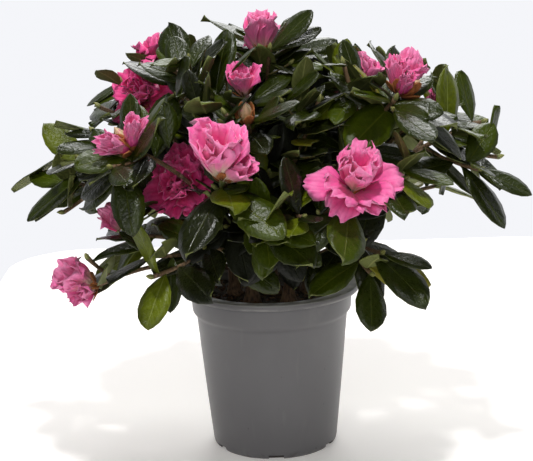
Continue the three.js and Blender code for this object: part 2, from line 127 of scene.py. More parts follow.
class Stream:
    """A repeatable stream of numbers from 0 to 1."""

    def __init__(self, seed: int) -> None:
        """Starts the stream at a seed."""
        self._state = seed & 0xFFFFFFFF

    def next(self) -> float:
        """The next number of the stream."""
        self._state = (1664525 * self._state + 1013904223) & 0xFFFFFFFF
        return self._state / 4294967296

    def spread(self, width: float) -> float:
        """A number about zero, up to half the width to either side."""
        return (self.next() - 0.5) * width

    def between(self, low: float, high: float) -> float:
        """A number between two limits."""
        return lerp(low, high, self.next())

    def pick(self, weights: Sequence[float]) -> int:
        """The place of one of some weights, taken as often as it weighs."""
        return int(np.searchsorted(np.cumsum(weights), self.next() * sum(weights), side="right"))


@dataclass(frozen=True, eq=False)
class Curve:
    """A curve with one bend, measured along its length."""

    start: Array
    middle: Array
    end: Array

    def at_times(self, times: Array) -> Array:
        """The points of the curve at some values of its own parameter."""
        t = np.asarray(times, dtype=float)[..., None]
        return (1 - t) ** 2 * self.start + 2 * (1 - t) * t * self.middle + t**2 * self.end

    @cached_property
    def _reaches(self) -> Array:
        """The lengths from the start to each of the curve's measuring points."""
        steps = np.linalg.norm(np.diff(self.at_times(TIMES), axis=0), axis=1)
        return np.concatenate(([0.0], np.cumsum(steps)))

    @property
    def length(self) -> float:
        """The whole length of the curve."""
        return float(self._reaches[-1])

    def time(self, share: float | Array) -> float | Array:
        """The curve's parameter at a share of its length."""
        return np.interp(np.asarray(share) * self.length, self._reaches, TIMES)

    def at(self, share: float | Array) -> Array:
        """The point, or points, at a share of the length."""
        return self.at_times(self.time(share))

    def way(self, share: float | Array) -> Array:
        """The unit direction, or directions, of the curve at a share of its length."""
        t = np.asarray(self.time(share), dtype=float)[..., None]
        slope = (1 - t) * (self.middle - self.start) + t * (self.end - self.middle)
        return slope / np.linalg.norm(slope, axis=-1, keepdims=True)

    def line(self, steps: int) -> Array:
        """Points along the curve, at even steps of its parameter."""
        return self.at_times(np.linspace(0.0, 1.0, steps + 1))

    def stretch(self, start: float, end: float) -> "Curve":
        """The part of the curve between two shares of its length."""
        first, last = self.at(start), self.at(end)
        return Curve(first, 2 * self.at((start + end) / 2) - 0.5 * first - 0.5 * last, last)


# How the plant grows


class Bloom(Enum):
    """The stages of one flower head."""

    OPEN = "open"
    HALF = "half"
    SMALL = "small"
    OPENING = "opening"
    BUD = "bud"


class Truss(Enum):
    """The flower heads that a shoot's tip bears, the largest first."""

    NONE = ()
    OPEN = (Bloom.OPEN,)
    HALF = (Bloom.HALF,)
    SMALL = (Bloom.SMALL,)
    PAIR = (Bloom.HALF, Bloom.OPENING)
    CLUSTER = (Bloom.HALF, Bloom.OPENING, Bloom.OPENING, Bloom.BUD)
    BUDS = (Bloom.OPENING, Bloom.OPENING, Bloom.BUD)
    BUD = (Bloom.BUD,)


class Tint(Enum):
    """The greens of the leaves: a near-black green that paints the shade deep inside the crown, then the
    greens from the oldest to the youngest, whose lighter greens also paint the light shining through the
    leaves on the crown's right side.
    """

    # painted shade: the near-black green of the leaves deep inside the crown
    INNER = "inner"
    DARK = "dark"
    DEEP = "deep"
    MIDDLE = "middle"
    FRESH = "fresh"
    GOLDEN = "golden"


class Pink(Enum):
    """The pinks of the flowers; the deep pink is a darker copy that paints shade on flowers that sit in
    shade.
    """

    BRIGHT = "bright"
    PALE = "pale"
    # painted shade: a darker copy of the pink for flowers in shade
    DEEP = "deep"


@dataclass(frozen=True)
class StemRow:
    """A stem of the clump: where it leaves the peat, how far it leans out, its height and foot radius."""

    azimuth: float
    offset: float
    lean: float
    height: float
    radius: float


@dataclass(frozen=True)
class CrownRow:
    """A bough and the mass that it carries: its stem, and its leading shoot's tip about the pot's axis."""

    name: str
    stem: str
    azimuth: float
    reach: float
    height: float
    upturn: float
    shoots: int
    truss: Truss
    fullness: int
    pink: Pink = Pink.BRIGHT
    swell: float = 1.0
    facing: float = 0.0
    second: bool = False
    skirt: int = 0


@dataclass(frozen=True)
class Opening:
    """A place where the crown is open to the viewer, given on the upright plane through the pot's axis."""

    x: float
    z: float
    radius: float


@dataclass(frozen=True)
class HeadRoom:
    """The room of a flower head: its rim, and the count, length, width and lean of spread petals, if any."""

    rim_radius: float
    rim_height: float
    petals: tuple[int, float, float, float] | None = None

    @property
    def spread(self) -> float:
        """How far the flower spreads from its axis."""
        return self.rim_radius + (self.petals[1] * 0.6 if self.petals else 0)

    def petal_screens(self, rim: Array, axis: Array, size: float, phase: float) -> list[Array]:
        """The four corners of each spread petal.

        Args:
            rim: The middle of the rim.
            axis: The way that the head faces.
            size: How large it is.
            phase: Where its first petal stands, in degrees.

        Returns:
            The corners of each petal, or nothing where the flower isn't open.
        """
        if self.petals is None:
            return []
        (count, length, width, lean), rim_radius = self.petals, self.rim_radius * size
        screens: list[Array] = []
        for i in range(count):
            along = leaning(axis, lean, phase + i * 360 / count)
            up = across(axis, along)
            root = rim + along * rim_radius * 0.35 - axis * rim_radius * 0.55
            middle = root + (along * 0.72 + up * 0.02) * length * size
            side = np.cross(up, along) * width * size / 2
            tip = root + (along - up * 0.12) * length * size
            screens.append(np.array((root, middle - side, tip, middle + side)))
        return screens


STEMS: dict[str, StemRow] = {
    "middle": StemRow(80, 4, 5, 62, 4.6),
    "front_left": StemRow(232, 23, 10, 46, 4.0),
    "front_right": StemRow(300, 25, 12, 44, 3.8),
    "right": StemRow(8, 27, 14, 58, 3.6),
    "back": StemRow(100, 28, 10, 50, 4.0),
    "left": StemRow(172, 27, 12, 44, 3.8),
}

# rows with Pink.DEEP take the darker pink that paints shade on their flowers
CROWN: tuple[CrownRow, ...] = (
    CrownRow("low_front", "front_left", 241, 90, 168, 0.2, 2, Truss.NONE, 0),
    CrownRow("left_centre", "left", 209, 66, 198, 0.3, 2, Truss.OPEN, 2, Pink.DEEP, 1.6, 1.3, True),
    CrownRow("left_front", "front_left", 227, 131, 240, 0.9, 3, Truss.BUDS, 1, Pink.PALE, 0.95, skirt=5),
    CrownRow("front_centre", "front_left", 256, 124, 222, 1.6, 2, Truss.HALF, 3, Pink.PALE, 1.2, skirt=6),
    CrownRow("low_right", "front_right", 318, 92, 166, 0.25, 2, Truss.NONE, 0),
    CrownRow("front_low", "front_right", 272, 92, 200, 0.4, 3, Truss.NONE, 2),
    CrownRow(
        "right_front", "front_right", 297, 118, 205, 1.8, 2, Truss.OPEN, 1, Pink.PALE, 1.12, 0.2, skirt=4
    ),
    CrownRow("upper_right", "front_right", 322, 113, 268, 1.0, 3, Truss.CLUSTER, 2, swell=0.86, skirt=5),
    CrownRow("low_back_right", "right", 52, 140, 164, 0.4, 2, Truss.BUDS, 0),
    CrownRow("right_end", "right", 351, 134, 232, 0.5, 3, Truss.NONE, 0),
    CrownRow("far_right", "right", 20, 134, 238, 0.6, 2, Truss.HALF, 1, Pink.BRIGHT, 0.7),
    CrownRow("back_right", "right", 64, 125, 240, 0.7, 2, Truss.OPEN, 2),
    CrownRow("low_back_left", "back", 132, 138, 186, 0.4, 2, Truss.HALF, 1, Pink.PALE),
    CrownRow("back_centre", "back", 92, 138, 220, 0.6, 2, Truss.PAIR, 2, Pink.PALE),
    CrownRow("back_left", "back", 140, 98, 270, 1.0, 2, Truss.OPEN, 2, Pink.DEEP, 0.75),
    CrownRow("top_back", "back", 84, 72, 268, 1.0, 2, Truss.HALF, 3),
    CrownRow("low_left", "left", 199, 130, 134, 0.9, 1, Truss.HALF, 0, Pink.PALE),
    CrownRow("left_low", "left", 170, 104, 154, 1.6, 1, Truss.SMALL, 0, Pink.PALE, 1.35),
    CrownRow("left_end", "left", 182, 144, 201, 0.3, 3, Truss.NONE, 0),
    CrownRow("upper_left", "left", 174, 86, 256, 0.9, 3, Truss.OPEN, 2, Pink.DEEP, 0.85, 1.8),
    CrownRow("right_top", "middle", 4, 66, 262, 0.8, 3, Truss.HALF, 3, Pink.BRIGHT, 0.75),
    CrownRow("centre", "middle", 262, 92, 254, 0.7, 2, Truss.BUD, 3),
    CrownRow("upper_centre", "middle", 254, 52, 266, 0.9, 3, Truss.SMALL, 3),
    CrownRow("crown_top", "middle", 100, 10, 286, 1.6, 3, Truss.HALF, 3),
    CrownRow("heart", "middle", 286, 70, 226, 0.5, 3, Truss.NONE, 3),
)

HEAD_ROOMS: dict[Bloom, HeadRoom] = {
    Bloom.OPEN: HeadRoom(10, 21, (5, 24, 22, 66)),
    Bloom.HALF: HeadRoom(14, 32),
    Bloom.SMALL: HeadRoom(10, 21),
    Bloom.OPENING: HeadRoom(5, 27),
    Bloom.BUD: HeadRoom(3.4, 14),
}
HEAD_SIZES = (1.0, 0.85, 0.7, 0.55)
# The share of each flower's spread that nothing stands in front of
SHOWN: dict[str, float] = {
    "left_front": 1.0,
    "left_centre": 0.75,
    "front_centre": 0.9,
    "right_front": 1.0,
    "upper_right": 1.0,
    "upper_left": 0.5,
    "left_low": 0.8,
    "right_top": 0.5,
    "low_left": 1.0,
    "upper_centre": 1.0,
    "crown_top": 1.0,
}
OPENINGS: tuple[Opening, ...] = tuple(
    Opening(*spot)
    for spot in (
        *((103, 161, 16), (86, 152, 10), (110, 116, 14), (129, 168, 10), (107, 172, 10)),
        *((84, 160, 10), (57, 296, 11), (28, 311, 9), (123, 269, 9), (-34, 316, 9), (-127, 264, 14)),
        *((-124, 250, 8), (-109, 99, 14), (-153, 158, 14), (-177, 186, 13), (-149, 239, 10)),
        *((-148, 144, 11), (-169, 172, 11), (-38, 117, 11), (-18, 118, 13), (3, 119, 13), (24, 120, 13)),
    )
)
# The lean, the swing and the size that a leaf tries in turn
LEAF_TRIES = ((0, 0, 1.0), (-16, 24, 1.0), (8, -30, 0.92), (-30, 0, 0.88), (14, 44, 0.8), (-24, -52, 0.7))


@dataclass(frozen=True)
class Habit:
    """The sizes that the plant grows by, in millimetres, degrees and shares."""

    pot_height: float = 122
    pot_reach: float = 65
    peat_top: float = 112
    fit_gap: float = 0.3
    root_flare: float = 0.8
    flare_fade: float = 6
    bough_radius: float = 2.3
    bough_share: float = 0.64
    bough_lift: float = 0.17
    lowest_fork: float = 0.44
    highest_fork: float = 0.97
    shoot_radius: float = 1.5
    bud_radius: float = 2.1
    side_lengths: tuple[float, float] = (36, 58)
    side_angle: float = 48
    side_angle_range: float = 24
    side_upturn: float = 0.63
    leaf_length: float = 46
    leaf_width: float = 0.52
    leaf_fold: float = 0.07
    leaf_droop: float = 0.16
    whorl_depth: float = 20
    root_depth: float = 0.3
    leader_leaves: int = 6
    side_leaves: int = 5
    truss_tilt: float = 30
    dome_foot: float = 150
    dome_height: float = 166
    dome_radius: float = 196
    leaf_room: float = 8
    tip_reach: float = 18
    space_gap: float = 0.8
    wood_clearance: float = 1.0
    spurs: tuple[int, ...] = (0, 2, 4, 5)
    spur_lengths: tuple[float, float] = (10, 24)
    spur_gap: float = -70
    companion_tilt: float = 40
    companion_turn: float = 105
    companion_size: float = 0.95
    second_facing: float = 0.6
    second_turn: float = 40
    fine_twigs: tuple[int, ...] = (0, 1, 1, 2)
    fine_lengths: tuple[float, float] = (12, 28)
    fine_leaves: int = 4
    fine_size: float = 0.88
    fine_gap: float = -9
    more_leaves: tuple[int, ...] = (0, 2, 3, 4)
    more_size: float = 0.98
    skirt_fan: float = 100
    skirt_droop: float = 0.5
    spare_tip: float = 0.1
    sight: float = 220
    light_turn: float = 0.6
    light_front: float = 100


@dataclass(frozen=True, eq=False)
class Leaf:
    """One leaf: its root, the ways of its length and upper face, its length and how young it is."""

    root: Array
    along: Array
    up: Array
    length: float
    youth: float


@dataclass(frozen=True, eq=False)
class Shoot:
    """A leafy shoot: its curve, the way its tip faces, its leaves and its radii at either end."""

    curve: Curve
    axis: Array
    leaves: int
    foot_radius: float
    tip_radius: float
    size: float = 1.0


@dataclass(frozen=True, eq=False)
class Head:
    """One flower head on a shoot's tip."""

    bloom: Bloom
    base: Array
    axis: Array
    size: float
    phase: float
    pink: Pink


@dataclass(frozen=True, eq=False)
class Limb:
    """A limb of the crown: a bough, and the leading shoot that it ends in."""

    row: CrownRow
    curve: Curve
    habit: Habit

    @cached_property
    def bough(self) -> Curve:
        """The woody part of the limb."""
        return self.curve.stretch(0.0, self.habit.bough_share)

    @cached_property
    def leader(self) -> Curve:
        """The leafy part of the limb."""
        return self.curve.stretch(self.habit.bough_share + self.habit.fit_gap / self.curve.length, 1.0)

    @cached_property
    def axis(self) -> Array:
        """The way that the tip faces, turned up to the light."""
        return unit(self.leader.way(1.0) + UP * self.row.upturn)

    @cached_property
    def line(self) -> Array:
        """The line that the limb's mass gathers about."""
        return np.vstack((self.leader.line(5), self.leader.end + self.axis * self.habit.tip_reach))


@dataclass(frozen=True, eq=False)
class Mass:
    """The growth of one mass of foliage: its place in the crown, its limb, its chances and what it bears."""

    own: int
    limb: Limb
    stream: Stream
    shoots: list[Shoot] = field(default_factory=list)
    heads: list[Head] = field(default_factory=list)
    leaves: list[Leaf] = field(default_factory=list)
    screens: list[Array] = field(default_factory=list)

    @property
    def name(self) -> str:
        """The name of the mass."""
        return self.limb.row.name


def distances(points: Array, starts: Array, ends: Array) -> Array:
    """How far each of some points lies from each of some straight runs.

    Args:
        points: The points, one a row.
        starts: Where each run starts.
        ends: Where each run ends.

    Returns:
        A table with a row for each point and a column for each run.
    """
    runs = ends - starts
    out = points[:, None] - starts[None]
    shares = np.clip(np.einsum("psk,sk->ps", out, runs) / np.einsum("sk,sk->s", runs, runs), 0.0, 1.0)
    return np.linalg.norm(out - shares[..., None] * runs[None], axis=2)


def pierced(starts: Array, ends: Array, triangles: Array) -> bool:
    """Whether any of some straight runs goes through any of some triangles.

    Args:
        starts: Where each run starts.
        ends: Where each run ends.
        triangles: The triangles, three points each.

    Returns:
        True where a run meets a triangle.
    """
    if not len(starts) or not len(triangles):
        return False
    ways = ends - starts
    one = triangles[:, 1] - triangles[:, 0]
    two = triangles[:, 2] - triangles[:, 0]
    out = starts[:, None] - triangles[None, :, 0]
    normal = np.cross(ways[:, None], two[None])
    other = np.cross(out, one[None])
    with np.errstate(divide="ignore", invalid="ignore"):
        scale = 1.0 / np.einsum("stk,tk->st", normal, one)
        u = np.einsum("stk,stk->st", out, normal) * scale
        v = np.einsum("sk,stk->st", ways, other) * scale
        t = np.einsum("tk,stk->st", two, other) * scale
        hits = (u >= 0) & (v >= 0) & (u + v <= 1) & (t >= 0) & (t < 1)
    return bool(hits.any())


def halves(corners: Array) -> Array:
    """The two triangles of each of some four-cornered blades."""
    return np.concatenate((corners[:, [0, 1, 2]], corners[:, [0, 2, 3]]))


def edges(corners: Array) -> tuple[Array, Array]:
    """The starts and ends of the four edges and the midrib of each of some four-cornered blades."""
    return corners[:, [0, 1, 2, 3, 0]].reshape(-1, 3), corners[:, [1, 2, 3, 0, 2]].reshape(-1, 3)


class Growth:
    """The seeded growth of the whole plant."""

    def __init__(self, habit: Habit) -> None:
        """Grows the limbs and lays out the space that each mass keeps to."""
        self.habit = habit
        self.limbs = [Limb(row, self._limb_curve(row), habit) for row in CROWN]
        lines = np.array([limb.line for limb in self.limbs])
        self._runs = lines.shape[1] - 1
        self._starts = lines[:, :-1].reshape(-1, 3)
        self._ends = lines[:, 1:].reshape(-1, 3)
        wood = [(self.stem_curve(stem).line(6), stem.radius) for stem in STEMS.values()]
        wood += [(limb.bough.line(6), habit.bough_radius) for limb in self.limbs]
        self._wood_starts = np.concatenate([line[:-1] for line, _ in wood])
        self._wood_ends = np.concatenate([line[1:] for line, _ in wood])
        self._wood_radii = np.repeat([radius for _, radius in wood], 6)

    def stem_curve(self, stem: StemRow) -> Curve:
        """A stem's curve, which leaves the peat upright and leans out."""
        foot = around(stem.azimuth, stem.offset, self.habit.peat_top + self.habit.fit_gap)
        drift = stem.height * math.tan(math.radians(stem.lean))
        return Curve(foot, foot + UP * stem.height * 0.5, foot + around(stem.azimuth, drift, stem.height))

    def stem_radius(self, stem: StemRow, shares: Array) -> Array:
        """A stem's radius at shares of its length, with its root flare."""
        flare = self.habit.root_flare * np.exp(-shares * stem.height / self.habit.flare_fade)
        return stem.radius * (1 - 0.32 * shares + flare)

    def _limb_curve(self, row: CrownRow) -> Curve:
        """A limb's curve. Flatter limbs fork off lower on their stem."""
        siblings = [other for other in CROWN if other.stem == row.stem]
        siblings.sort(key=lambda other: (other.height - self.habit.pot_height) / other.reach)
        rank = siblings.index(row) / max(1, len(siblings) - 1)
        share = lerp(self.habit.lowest_fork, self.habit.highest_fork, rank)
        fork = self.stem_curve(STEMS[row.stem]).at(share)
        tip = around(row.azimuth, row.reach, row.height)
        lift = UP * self.habit.bough_lift * np.linalg.norm(tip - fork)
        return Curve(fork, (fork + tip) / 2 + lift, tip)

    def _fits(self, points: Array, own: int, gap: float) -> bool:
        """Whether points are clear of the pot and the wood, and nearer to their own shoot than to any other.

        Args:
            points: The points, one a row.
            own: The place of the limb that they belong to.
            gap: How much nearer they have to be.

        Returns:
            True where all of them are.
        """
        near = np.hypot(points[:, 0], points[:, 1]) < self.habit.pot_reach + 1
        if (near & (points[:, 2] < self.habit.pot_height + 1)).any():
            return False
        wood = distances(points, self._wood_starts, self._wood_ends)
        if (wood <= self._wood_radii + self.habit.wood_clearance).any():
            return False
        reach = distances(points, self._starts, self._ends).reshape(len(points), -1, self._runs).min(axis=2)
        others = np.delete(reach, own, axis=1).min(axis=1)
        return bool((others > reach[:, own] + gap).all())

    def _under_dome(self, points: Array, room: float = 0.0) -> bool:
        """Whether points lie under the dome that the light shapes, with some room to spare."""
        reach = np.hypot(points[:, 0], points[:, 1]) / self.habit.dome_radius
        rise = (points[:, 2] + room - self.habit.dome_foot) / self.habit.dome_height
        return bool(((points[:, 2] < self.habit.dome_foot) | (np.hypot(reach, rise) < 1)).all())

    def _settles(self, mass: Mass, leaf: Leaf, gap: float) -> bool:
        """Adds a leaf where it keeps to its space, no wood runs through it and it crosses no other blade.

        Args:
            mass: The mass that it belongs to.
            leaf: The leaf.
            gap: How much nearer to its own shoot it has to be.

        Returns:
            True where it has room.
        """
        corners = self._leaf_corners(leaf)
        starts, ends = edges(corners[None])
        samples = np.concatenate((corners, (starts + ends) / 2))
        if not self._under_dome(corners) or not self._fits(samples, mass.own, gap):
            return False
        faces, others = halves(corners[None]), np.array(mass.screens).reshape(-1, 4, 3)
        if pierced(self._wood_starts, self._wood_ends, faces):
            return False
        if pierced(starts, ends, halves(others)) or pierced(*edges(others), faces):
            return False
        mass.screens.append(corners)
        mass.leaves.append(leaf)
        return True

    def _leaf_corners(self, leaf: Leaf) -> Array:
        """A leaf's root, right, tip and left, with the root brought out of its shoot."""
        side = np.cross(leaf.up, leaf.along) * leaf.length * self.habit.leaf_width
        lift = leaf.up * leaf.length * (self.habit.leaf_fold - self.habit.leaf_droop * 0.4)
        middle = leaf.root + leaf.along * leaf.length * 0.56 + lift
        tip = leaf.root + leaf.along * leaf.length - leaf.up * leaf.length * self.habit.leaf_droop
        root = leaf.root + leaf.along * leaf.length * 0.2
        return np.array((root, middle - side / 2, tip, middle + side / 2))

    def _whorl(self, mass: Mass, shoot: Shoot, gap: float) -> int:
        """Adds a whorl of leaves along a shoot's end, the outer ones longer and more open.

        Args:
            mass: The mass that it belongs to.
            shoot: The shoot that bears it.
            gap: How much nearer to its own shoot each leaf has to be.

        Returns:
            How many leaves found room.
        """
        before, stream = len(mass.leaves), mass.stream
        phase = stream.next() * 360
        for i in range(shoot.leaves):
            inner = i / (shoot.leaves - 1)
            azimuth = phase + i * GOLDEN_ANGLE + stream.spread(26)
            opened = lerp(86, 44, inner) + stream.spread(22)
            vigour = 0.86 + 0.28 * stream.next()
            length = self.habit.leaf_length * lerp(1.02, 0.78, inner) * vigour * shoot.size
            depth = (self.habit.whorl_depth * (1 - inner) + 2.5) / shoot.curve.length
            seat = shoot.curve.at(max(0.0, 1 - depth))
            for turn, swing, size in LEAF_TRIES:
                along = unit(leaning(shoot.axis, opened + turn, azimuth + swing) - UP * 0.12)
                up = across(shoot.axis + UP, along)
                leaf = Leaf(seat - along * self.habit.root_depth, along, up, length * size, inner)
                if self._settles(mass, leaf, gap):
                    break
        return len(mass.leaves) - before

    def _side_shoots(self, mass: Mass) -> None:
        """Adds the side shoots of a leading shoot, turned on or skipped where they don't fit.

        Args:
            mass: The mass, which gains those that find room.
        """
        habit, limb, stream = self.habit, mass.limb, mass.stream
        for i in range(limb.row.shoots):
            start = 0.12 + 0.62 * (i + stream.next()) / limb.row.shoots
            azimuth = i * GOLDEN_ANGLE + stream.next() * 70
            angle = habit.side_angle + stream.spread(habit.side_angle_range)
            length = stream.between(*habit.side_lengths)
            for turn in (0, 70, 140, 210, 280):
                way = leaning(limb.leader.way(start), angle, azimuth + turn)
                curve = self._shoot_curve(limb.leader.at(start), way, length)
                under = self._under_dome(curve.end[None], habit.leaf_room)
                if under and self._fits(curve.line(6)[1:], mass.own, habit.space_gap):
                    axis, radius = unit(way + UP * habit.side_upturn), habit.shoot_radius * 0.6
                    mass.shoots.append(Shoot(curve, axis, habit.side_leaves, radius, habit.bud_radius))
                    break

    @staticmethod
    def _shoot_curve(start: Array, way: Array, length: float) -> Curve:
        """The curve of a shoot that sets off straight and turns up a little."""
        return Curve(start, start + way * length * 0.5, start + way * length + UP * length * 0.14)

    def _head(self, mass: Mass, bloom: Bloom, axis: Array) -> None:
        """Adds a flower head, made smaller until it fits its space, and the faces that leaves keep clear of.

        Args:
            mass: The mass, whose leading shoot bears it.
            bloom: The stage of the flower.
            axis: The way that it faces.
        """
        row, room, phase = mass.limb.row, HEAD_ROOMS[bloom], mass.stream.next() * 360
        base = mass.limb.leader.end - mass.limb.axis * 1.5
        for size in HEAD_SIZES:
            rim = base + axis * room.rim_height * size
            outs = (leaning(axis, 90, turn) for turn in (0, 90, 180, 270))
            brim = [rim + out * (room.rim_radius * size) for out in outs]
            petals = room.petal_screens(rim, axis, size, phase)
            if self._fits(np.concatenate([brim, *petals]), mass.own, self.habit.space_gap):
                mass.screens.extend(np.array((base, brim[i], rim, brim[i + 2])) for i in (0, 1))
                mass.screens.extend(petals)
                mass.heads.append(Head(bloom, base, axis, size * row.swell, phase, row.pink))
                break

    def mass(self, own: int) -> Mass:
        """Grows one mass by its own seed: the shoots first, then the flowers, then the leaves.

        Args:
            own: The place of its limb in the crown.

        Returns:
            The mass as the solids have it.
        """
        habit, limb = self.habit, self.limbs[own]
        leading = Shoot(limb.leader, limb.axis, habit.leader_leaves, habit.shoot_radius, habit.bud_radius)
        mass = Mass(own, limb, Stream(1000 + 37 * own), [leading])
        self._side_shoots(mass)
        phase, blooms = mass.stream.next() * 360, limb.row.truss.value
        tilt = 0.0 if len(blooms) == 1 else habit.truss_tilt
        for i, bloom in enumerate(blooms):
            self._head(mass, bloom, leaning(limb.axis, tilt, phase + i * 360 / len(blooms)))
        for shoot in mass.shoots:
            self._whorl(mass, shoot, habit.space_gap)
        return mass

    def carry_on(self, mass: Mass) -> None:
        """Carries a mass on to fuller whorls and finer twigs, inside its own reach.

        Args:
            mass: The mass, whose lists grow in place.
        """
        habit, limb, stream = self.habit, mass.limb, mass.stream
        fullness = limb.row.fullness
        self._turn_heads(mass)
        self._skirt(mass)
        for shoot in list(mass.shoots):
            fuller = Shoot(shoot.curve, shoot.axis, habit.more_leaves[fullness], 0, 0, habit.more_size)
            self._whorl(mass, fuller, habit.fine_gap)
            for i in range(habit.fine_twigs[fullness]):
                start = lerp(0.15, 0.8, (i + stream.next()) / habit.fine_twigs[fullness])
                self._twig(mass, shoot.curve, start, stream.between(*habit.fine_lengths), habit.fine_gap)
        for i in range(habit.spurs[fullness]):
            start = lerp(0.4, 1.0, (i + stream.next()) / habit.spurs[fullness])
            self._twig(mass, limb.bough, start, stream.between(*habit.spur_lengths), habit.spur_gap)

    def _turn_heads(self, mass: Mass) -> None:
        """Turns a mass's flowers to the front, and sets a companion beside a half-open or a double one.

        Args:
            mass: The mass that they belong to.
        """
        habit, row = self.habit, mass.limb.row
        mass.heads[:] = [replace(head, axis=unit(head.axis + FRONT * row.facing)) for head in mass.heads]
        if row.truss is Truss.HALF:
            head = mass.heads[0]
            axis = leaning(head.axis, habit.companion_tilt, row.azimuth + habit.companion_turn)
            size = habit.companion_size * head.size
            mass.heads.append(replace(head, bloom=Bloom.SMALL, axis=axis, size=size))
        if row.second:
            head = mass.heads[0]
            axis, phase = unit(UP + FRONT * habit.second_facing), head.phase + habit.second_turn
            mass.heads.append(replace(head, axis=axis, phase=phase))

    def _skirt(self, mass: Mass) -> None:
        """Fans drooping leaves out below a truss, on the open side of its shoot.

        Args:
            mass: The mass that they belong to.
        """
        habit, limb, stream = self.habit, mass.limb, mass.stream
        for turn in np.linspace(-habit.skirt_fan, habit.skirt_fan, limb.row.skirt):
            along = unit(around(limb.row.azimuth + turn + stream.spread(14), 1.0, -habit.skirt_droop))
            seat = limb.leader.end - limb.axis * stream.between(3, 9)
            up = across(UP + around(limb.row.azimuth, 0.8, 0), along)
            leaf = Leaf(seat, along, up, habit.leaf_length * stream.between(0.96, 1.12), 0.6)
            self._settles(mass, leaf, habit.spur_gap)

    def _twig(self, mass: Mass, bearer: Curve, start: float, length: float, gap: float) -> None:
        """Adds a fine leafy twig to a limb, where it fits and finds room for leaves.

        Args:
            mass: The mass that it belongs to.
            bearer: The curve that the twig leaves.
            start: The share of that curve's length where it leaves.
            length: The twig's length.
            gap: How much nearer to its own shoot it has to be.
        """
        habit, stream = self.habit, mass.stream
        way = leaning(bearer.way(start), 54 + stream.spread(30), stream.next() * 360)
        curve = self._shoot_curve(bearer.at(start), way, length)
        if self._fits(curve.line(4)[3:], mass.own, gap):
            twig = Shoot(curve, unit(way + UP * 0.5), habit.fine_leaves, 0.7, 0.9, habit.fine_size)
            if self._whorl(mass, twig, gap):
                mass.shoots.append(twig)

    def grow(self) -> list[Mass]:
        """Grows all the masses of the crown."""
        masses = [self.mass(own) for own in range(len(self.limbs))]
        for mass in masses:
            LOG.info("mass %s: %d leaves as the solids", mass.name, len(mass.leaves))
            self.carry_on(replace(mass, stream=Stream(50021 + 91 * mass.own)))
            mass.leaves[:] = [self._turned(leaf) for leaf in mass.leaves]
        self._uncover(masses)
        for mass in masses:
            self._open_up(mass)
            self._cut_back(mass)
        return masses

    def _turned(self, leaf: Leaf) -> Leaf:
        """A leaf with its blade turned to the light from above, from outside and from the front."""
        light = UP + unit(leaf.root * (1, 1, 0) + FRONT * self.habit.light_front)
        up = leaf.up + across(light, leaf.along) * self.habit.light_turn
        return replace(leaf, up=across(up, leaf.along))

    def _open_up(self, mass: Mass) -> None:
        """Takes off the leaves in the crown's openings, and the side shoots that are left bare.

        Args:
            mass: The mass, which loses them.
        """
        ends = np.array([(spot.x, 0.0, spot.z) for spot in OPENINGS])
        ends = VIEWER + (ends - VIEWER) * 1.5
        middles = np.array([leaf.root + leaf.along * leaf.length * 0.55 for leaf in mass.leaves])
        apart = distances(middles, np.repeat(VIEWER[None], len(OPENINGS), axis=0), ends)
        inside = (apart < [spot.radius for spot in OPENINGS]).any(axis=1)
        mass.leaves[:] = [leaf for leaf, out in zip(mass.leaves, inside) if not out]
        for shoot in list(mass.shoots[1:]):
            if not any(self._rooted(leaf.root, shoot.curve) for leaf in mass.leaves):
                mass.shoots.remove(shoot)

    def _cut_back(self, mass: Mass) -> None:
        """Cuts the bare tips of shoots back to the last leaf, twig or flower that they carry.

        Args:
            mass: The mass, whose shoots get shorter.
        """
        spots = [*(leaf.root for leaf in mass.leaves), *(head.base for head in mass.heads)]
        carried = np.array([*spots, *(shoot.curve.start for shoot in mass.shoots)])
        shares = np.linspace(0.0, 1.0, 31)
        for i, shoot in enumerate(mass.shoots):
            nearest = np.linalg.norm(shoot.curve.at(shares)[:, None] - carried, axis=2).min(axis=1)
            tip = shares[nearest < HOLD].max() + self.habit.spare_tip
            if tip < 1:
                mass.shoots[i] = replace(shoot, curve=shoot.curve.stretch(0.0, tip))

    def _uncover(self, masses: list[Mass]) -> None:
        """Takes off the twigs and leaves in front of the flowers that show.

        Args:
            masses: The masses, which lose those twigs and leaves.
        """
        for bearer in masses:
            share = SHOWN.get(bearer.name, 0.0)
            for mass in masses if share else ():
                for head in bearer.heads:
                    self._clear(mass, head, share)

    def _clear(self, mass: Mass, head: Head, share: float) -> None:
        """Takes off the twigs and leaves of a mass that stand in front of a flower head or stick into it.

        Args:
            mass: The mass, which loses them.
            head: The flower head.
            share: The share of the flower's spread that is cleared.
        """
        habit, room = self.habit, HEAD_ROOMS[head.bloom]
        spread = room.spread * share * head.size
        middle = head.base + (head.axis * room.rim_height * 0.62 - FRONT * 7) * head.size
        ring = [leaning(FRONT, 90, turn) * spread for turn in range(0, 360, 30)]
        starts = np.array([middle + out * part for out in ring for part in (0.3, 0.55, 0.8, 1.0)])
        veils = [shoot.curve for shoot in mass.shoots[1:] if self._veils(shoot.curve, middle, spread)]
        for shoot in list(mass.shoots[1:]):
            if shoot.curve in veils or any(self._rooted(shoot.curve.start, curve) for curve in veils):
                mass.shoots.remove(shoot)
        for leaf in list(mass.leaves):
            blade = halves(self._leaf_corners(leaf)[None])
            if (
                any(self._rooted(leaf.root, curve) for curve in veils)
                or pierced(starts, starts + FRONT * habit.sight, blade)
                or self._among_petals(leaf, head)
            ):
                mass.leaves.remove(leaf)

    @staticmethod
    def _veils(curve: Curve, middle: Array, spread: float) -> bool:
        """Whether a twig passes in front of a round flower."""
        ways = curve.line(8) - middle
        depths = ways @ FRONT
        asides = np.linalg.norm(ways - depths[:, None] * FRONT, axis=1)
        return bool(((depths > -4) & (asides < spread)).any())

    @staticmethod
    def _rooted(spot: Array, curve: Curve) -> bool:
        """Whether a spot lies on a twig, past its own foot."""
        return bool(np.linalg.norm(curve.line(30)[5:] - spot, axis=1).min() < HOLD)

